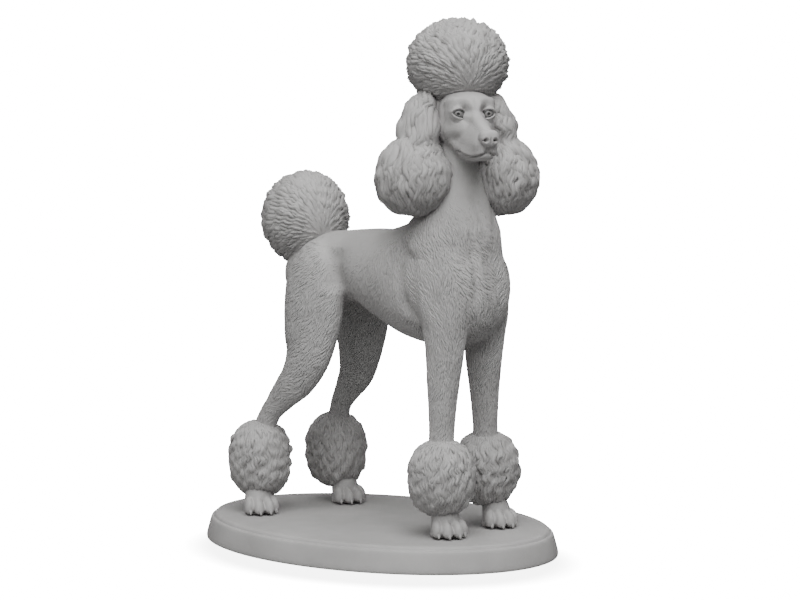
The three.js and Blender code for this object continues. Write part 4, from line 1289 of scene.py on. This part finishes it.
# %% Floor
FLOOR_HALF = 1000.0
SWEEP_GLOW = 24.0  # what the lens sees of the lit paper: this burns out to white
SHADE_GLOW = 6.5  # what it sees at the plinth's foot: a painted shadow that stands for the light the plinth keeps off
SHADE_REACH = (82.0, 110.0)  # mm: half width and half length of the shade
SHADE_MIDDLE = (-19.0, -17.5)  # mm: the painted shadow's oval is moved this far off the plinth's middle
SHADE_EDGE = (0.84, 1.14)  # where the shade starts to fade and where it ends, counted in reaches
SWEEP_BOUNCE = 0.25  # the part of the light that the sweep throws back at the figure

floor_points = np.array([(-1, -1, 0), (1, -1, 0), (1, 1, 0), (-1, 1, 0)]) * FLOOR_HALF
floor_mesh = bpy.data.meshes.new("floor")
fill_mesh(floor_mesh, floor_points, np.array([[0, 1, 2, 3]]))
floor = placed("floor", floor_mesh)
paper = bpy.data.materials.new("white_paper_sweep")
tree = empty_tree(paper)
# painted shadow: inside an oval round the plinth's foot the glow falls from SWEEP_GLOW to SHADE_GLOW
half = np.array(SHADE_REACH) * MM
shift = -np.array(SHADE_MIDDLE) * MM / half
place = node(tree, "ShaderNodeTexCoord")
across = node(tree, "ShaderNodeVectorMath", [(1, (*(1 / half), 0)), (2, (*shift, 0))],
              [(0, place.outputs["Object"])], operation="MULTIPLY_ADD")
away = node(tree, "ShaderNodeVectorMath", links=[(0, across.outputs[0])], operation="LENGTH")
shade = node(tree, "ShaderNodeMapRange",
             [("From Min", SHADE_EDGE[0]), ("From Max", SHADE_EDGE[1]), ("To Min", SHADE_GLOW),
              ("To Max", SWEEP_GLOW)],
             [("Value", away.outputs["Value"])], interpolation_type="SMOOTHSTEP")
glow = node(tree, "ShaderNodeEmission", links=[("Strength", shade.outputs["Result"])])
bounce = node(tree, "ShaderNodeBsdfDiffuse", [("Color", (SWEEP_BOUNCE,) * 3 + (1,))])


def split_for_lens(tree, light, lens, output):
    """Rays from the lens meet the second shader, and all others the first."""
    ray = node(tree, "ShaderNodeLightPath")
    seen = node(tree, "ShaderNodeMixShader", links=[(0, ray.outputs["Is Camera Ray"]), (1, light.outputs[0]),
                                                    (2, lens.outputs[0])])
    node(tree, output, links=[("Surface", seen.outputs[0])])


split_for_lens(tree, bounce, glow, "ShaderNodeOutputMaterial")
floor_mesh.materials.append(paper)

# %% Surroundings and lamps
BACKDROP = 24.0  # what the lens sees: this burns out to white
SKY_LIGHT = 0.30
GROUND_LIGHT = 0.07
LAMPS_AIM = 130.0  # mm: the height that the lamps are turned to

world = bpy.data.worlds.new("studio")
tree = empty_tree(world)
direction = node(tree, "ShaderNodeTexCoord")
split = node(tree, "ShaderNodeSeparateXYZ", links=[(0, direction.outputs["Generated"])])
gradient = node(tree, "ShaderNodeMapRange", [("From Min", -0.3), ("From Max", 0.9), ("To Min", GROUND_LIGHT),
                                             ("To Max", SKY_LIGHT)], [("Value", split.outputs["Z"])])
dim = node(tree, "ShaderNodeBackground", links=[("Strength", gradient.outputs["Result"])])
white = node(tree, "ShaderNodeBackground", [("Strength", BACKDROP)])
split_for_lens(tree, dim, white, "ShaderNodeOutputWorld")
bpy.context.scene.world = world


def soft_lamp(name, azimuth, elevation, distance, size, watts):
    """A square lamp at a direction round the statuette, aimed at its middle."""
    away = towards(azimuth, elevation)
    lamp = placed(name, bpy.data.lights.new(name, "AREA"))
    lamp.data.size = size * MM
    lamp.data.energy = watts
    lamp.location = (Vector((0, 0, LAMPS_AIM)) + away * distance) * MM
    lamp.rotation_euler = (-away).to_track_quat("-Z", "Y").to_euler()


soft_lamp("key_lamp", VIEW_AZIMUTH + 4, 52, 1300, 1100, 24)
soft_lamp("top_lamp", VIEW_AZIMUTH + 40, 84, 1500, 1500, 11)
soft_lamp("side_lamp", VIEW_AZIMUTH - 50, 22, 1500, 1100, 4)
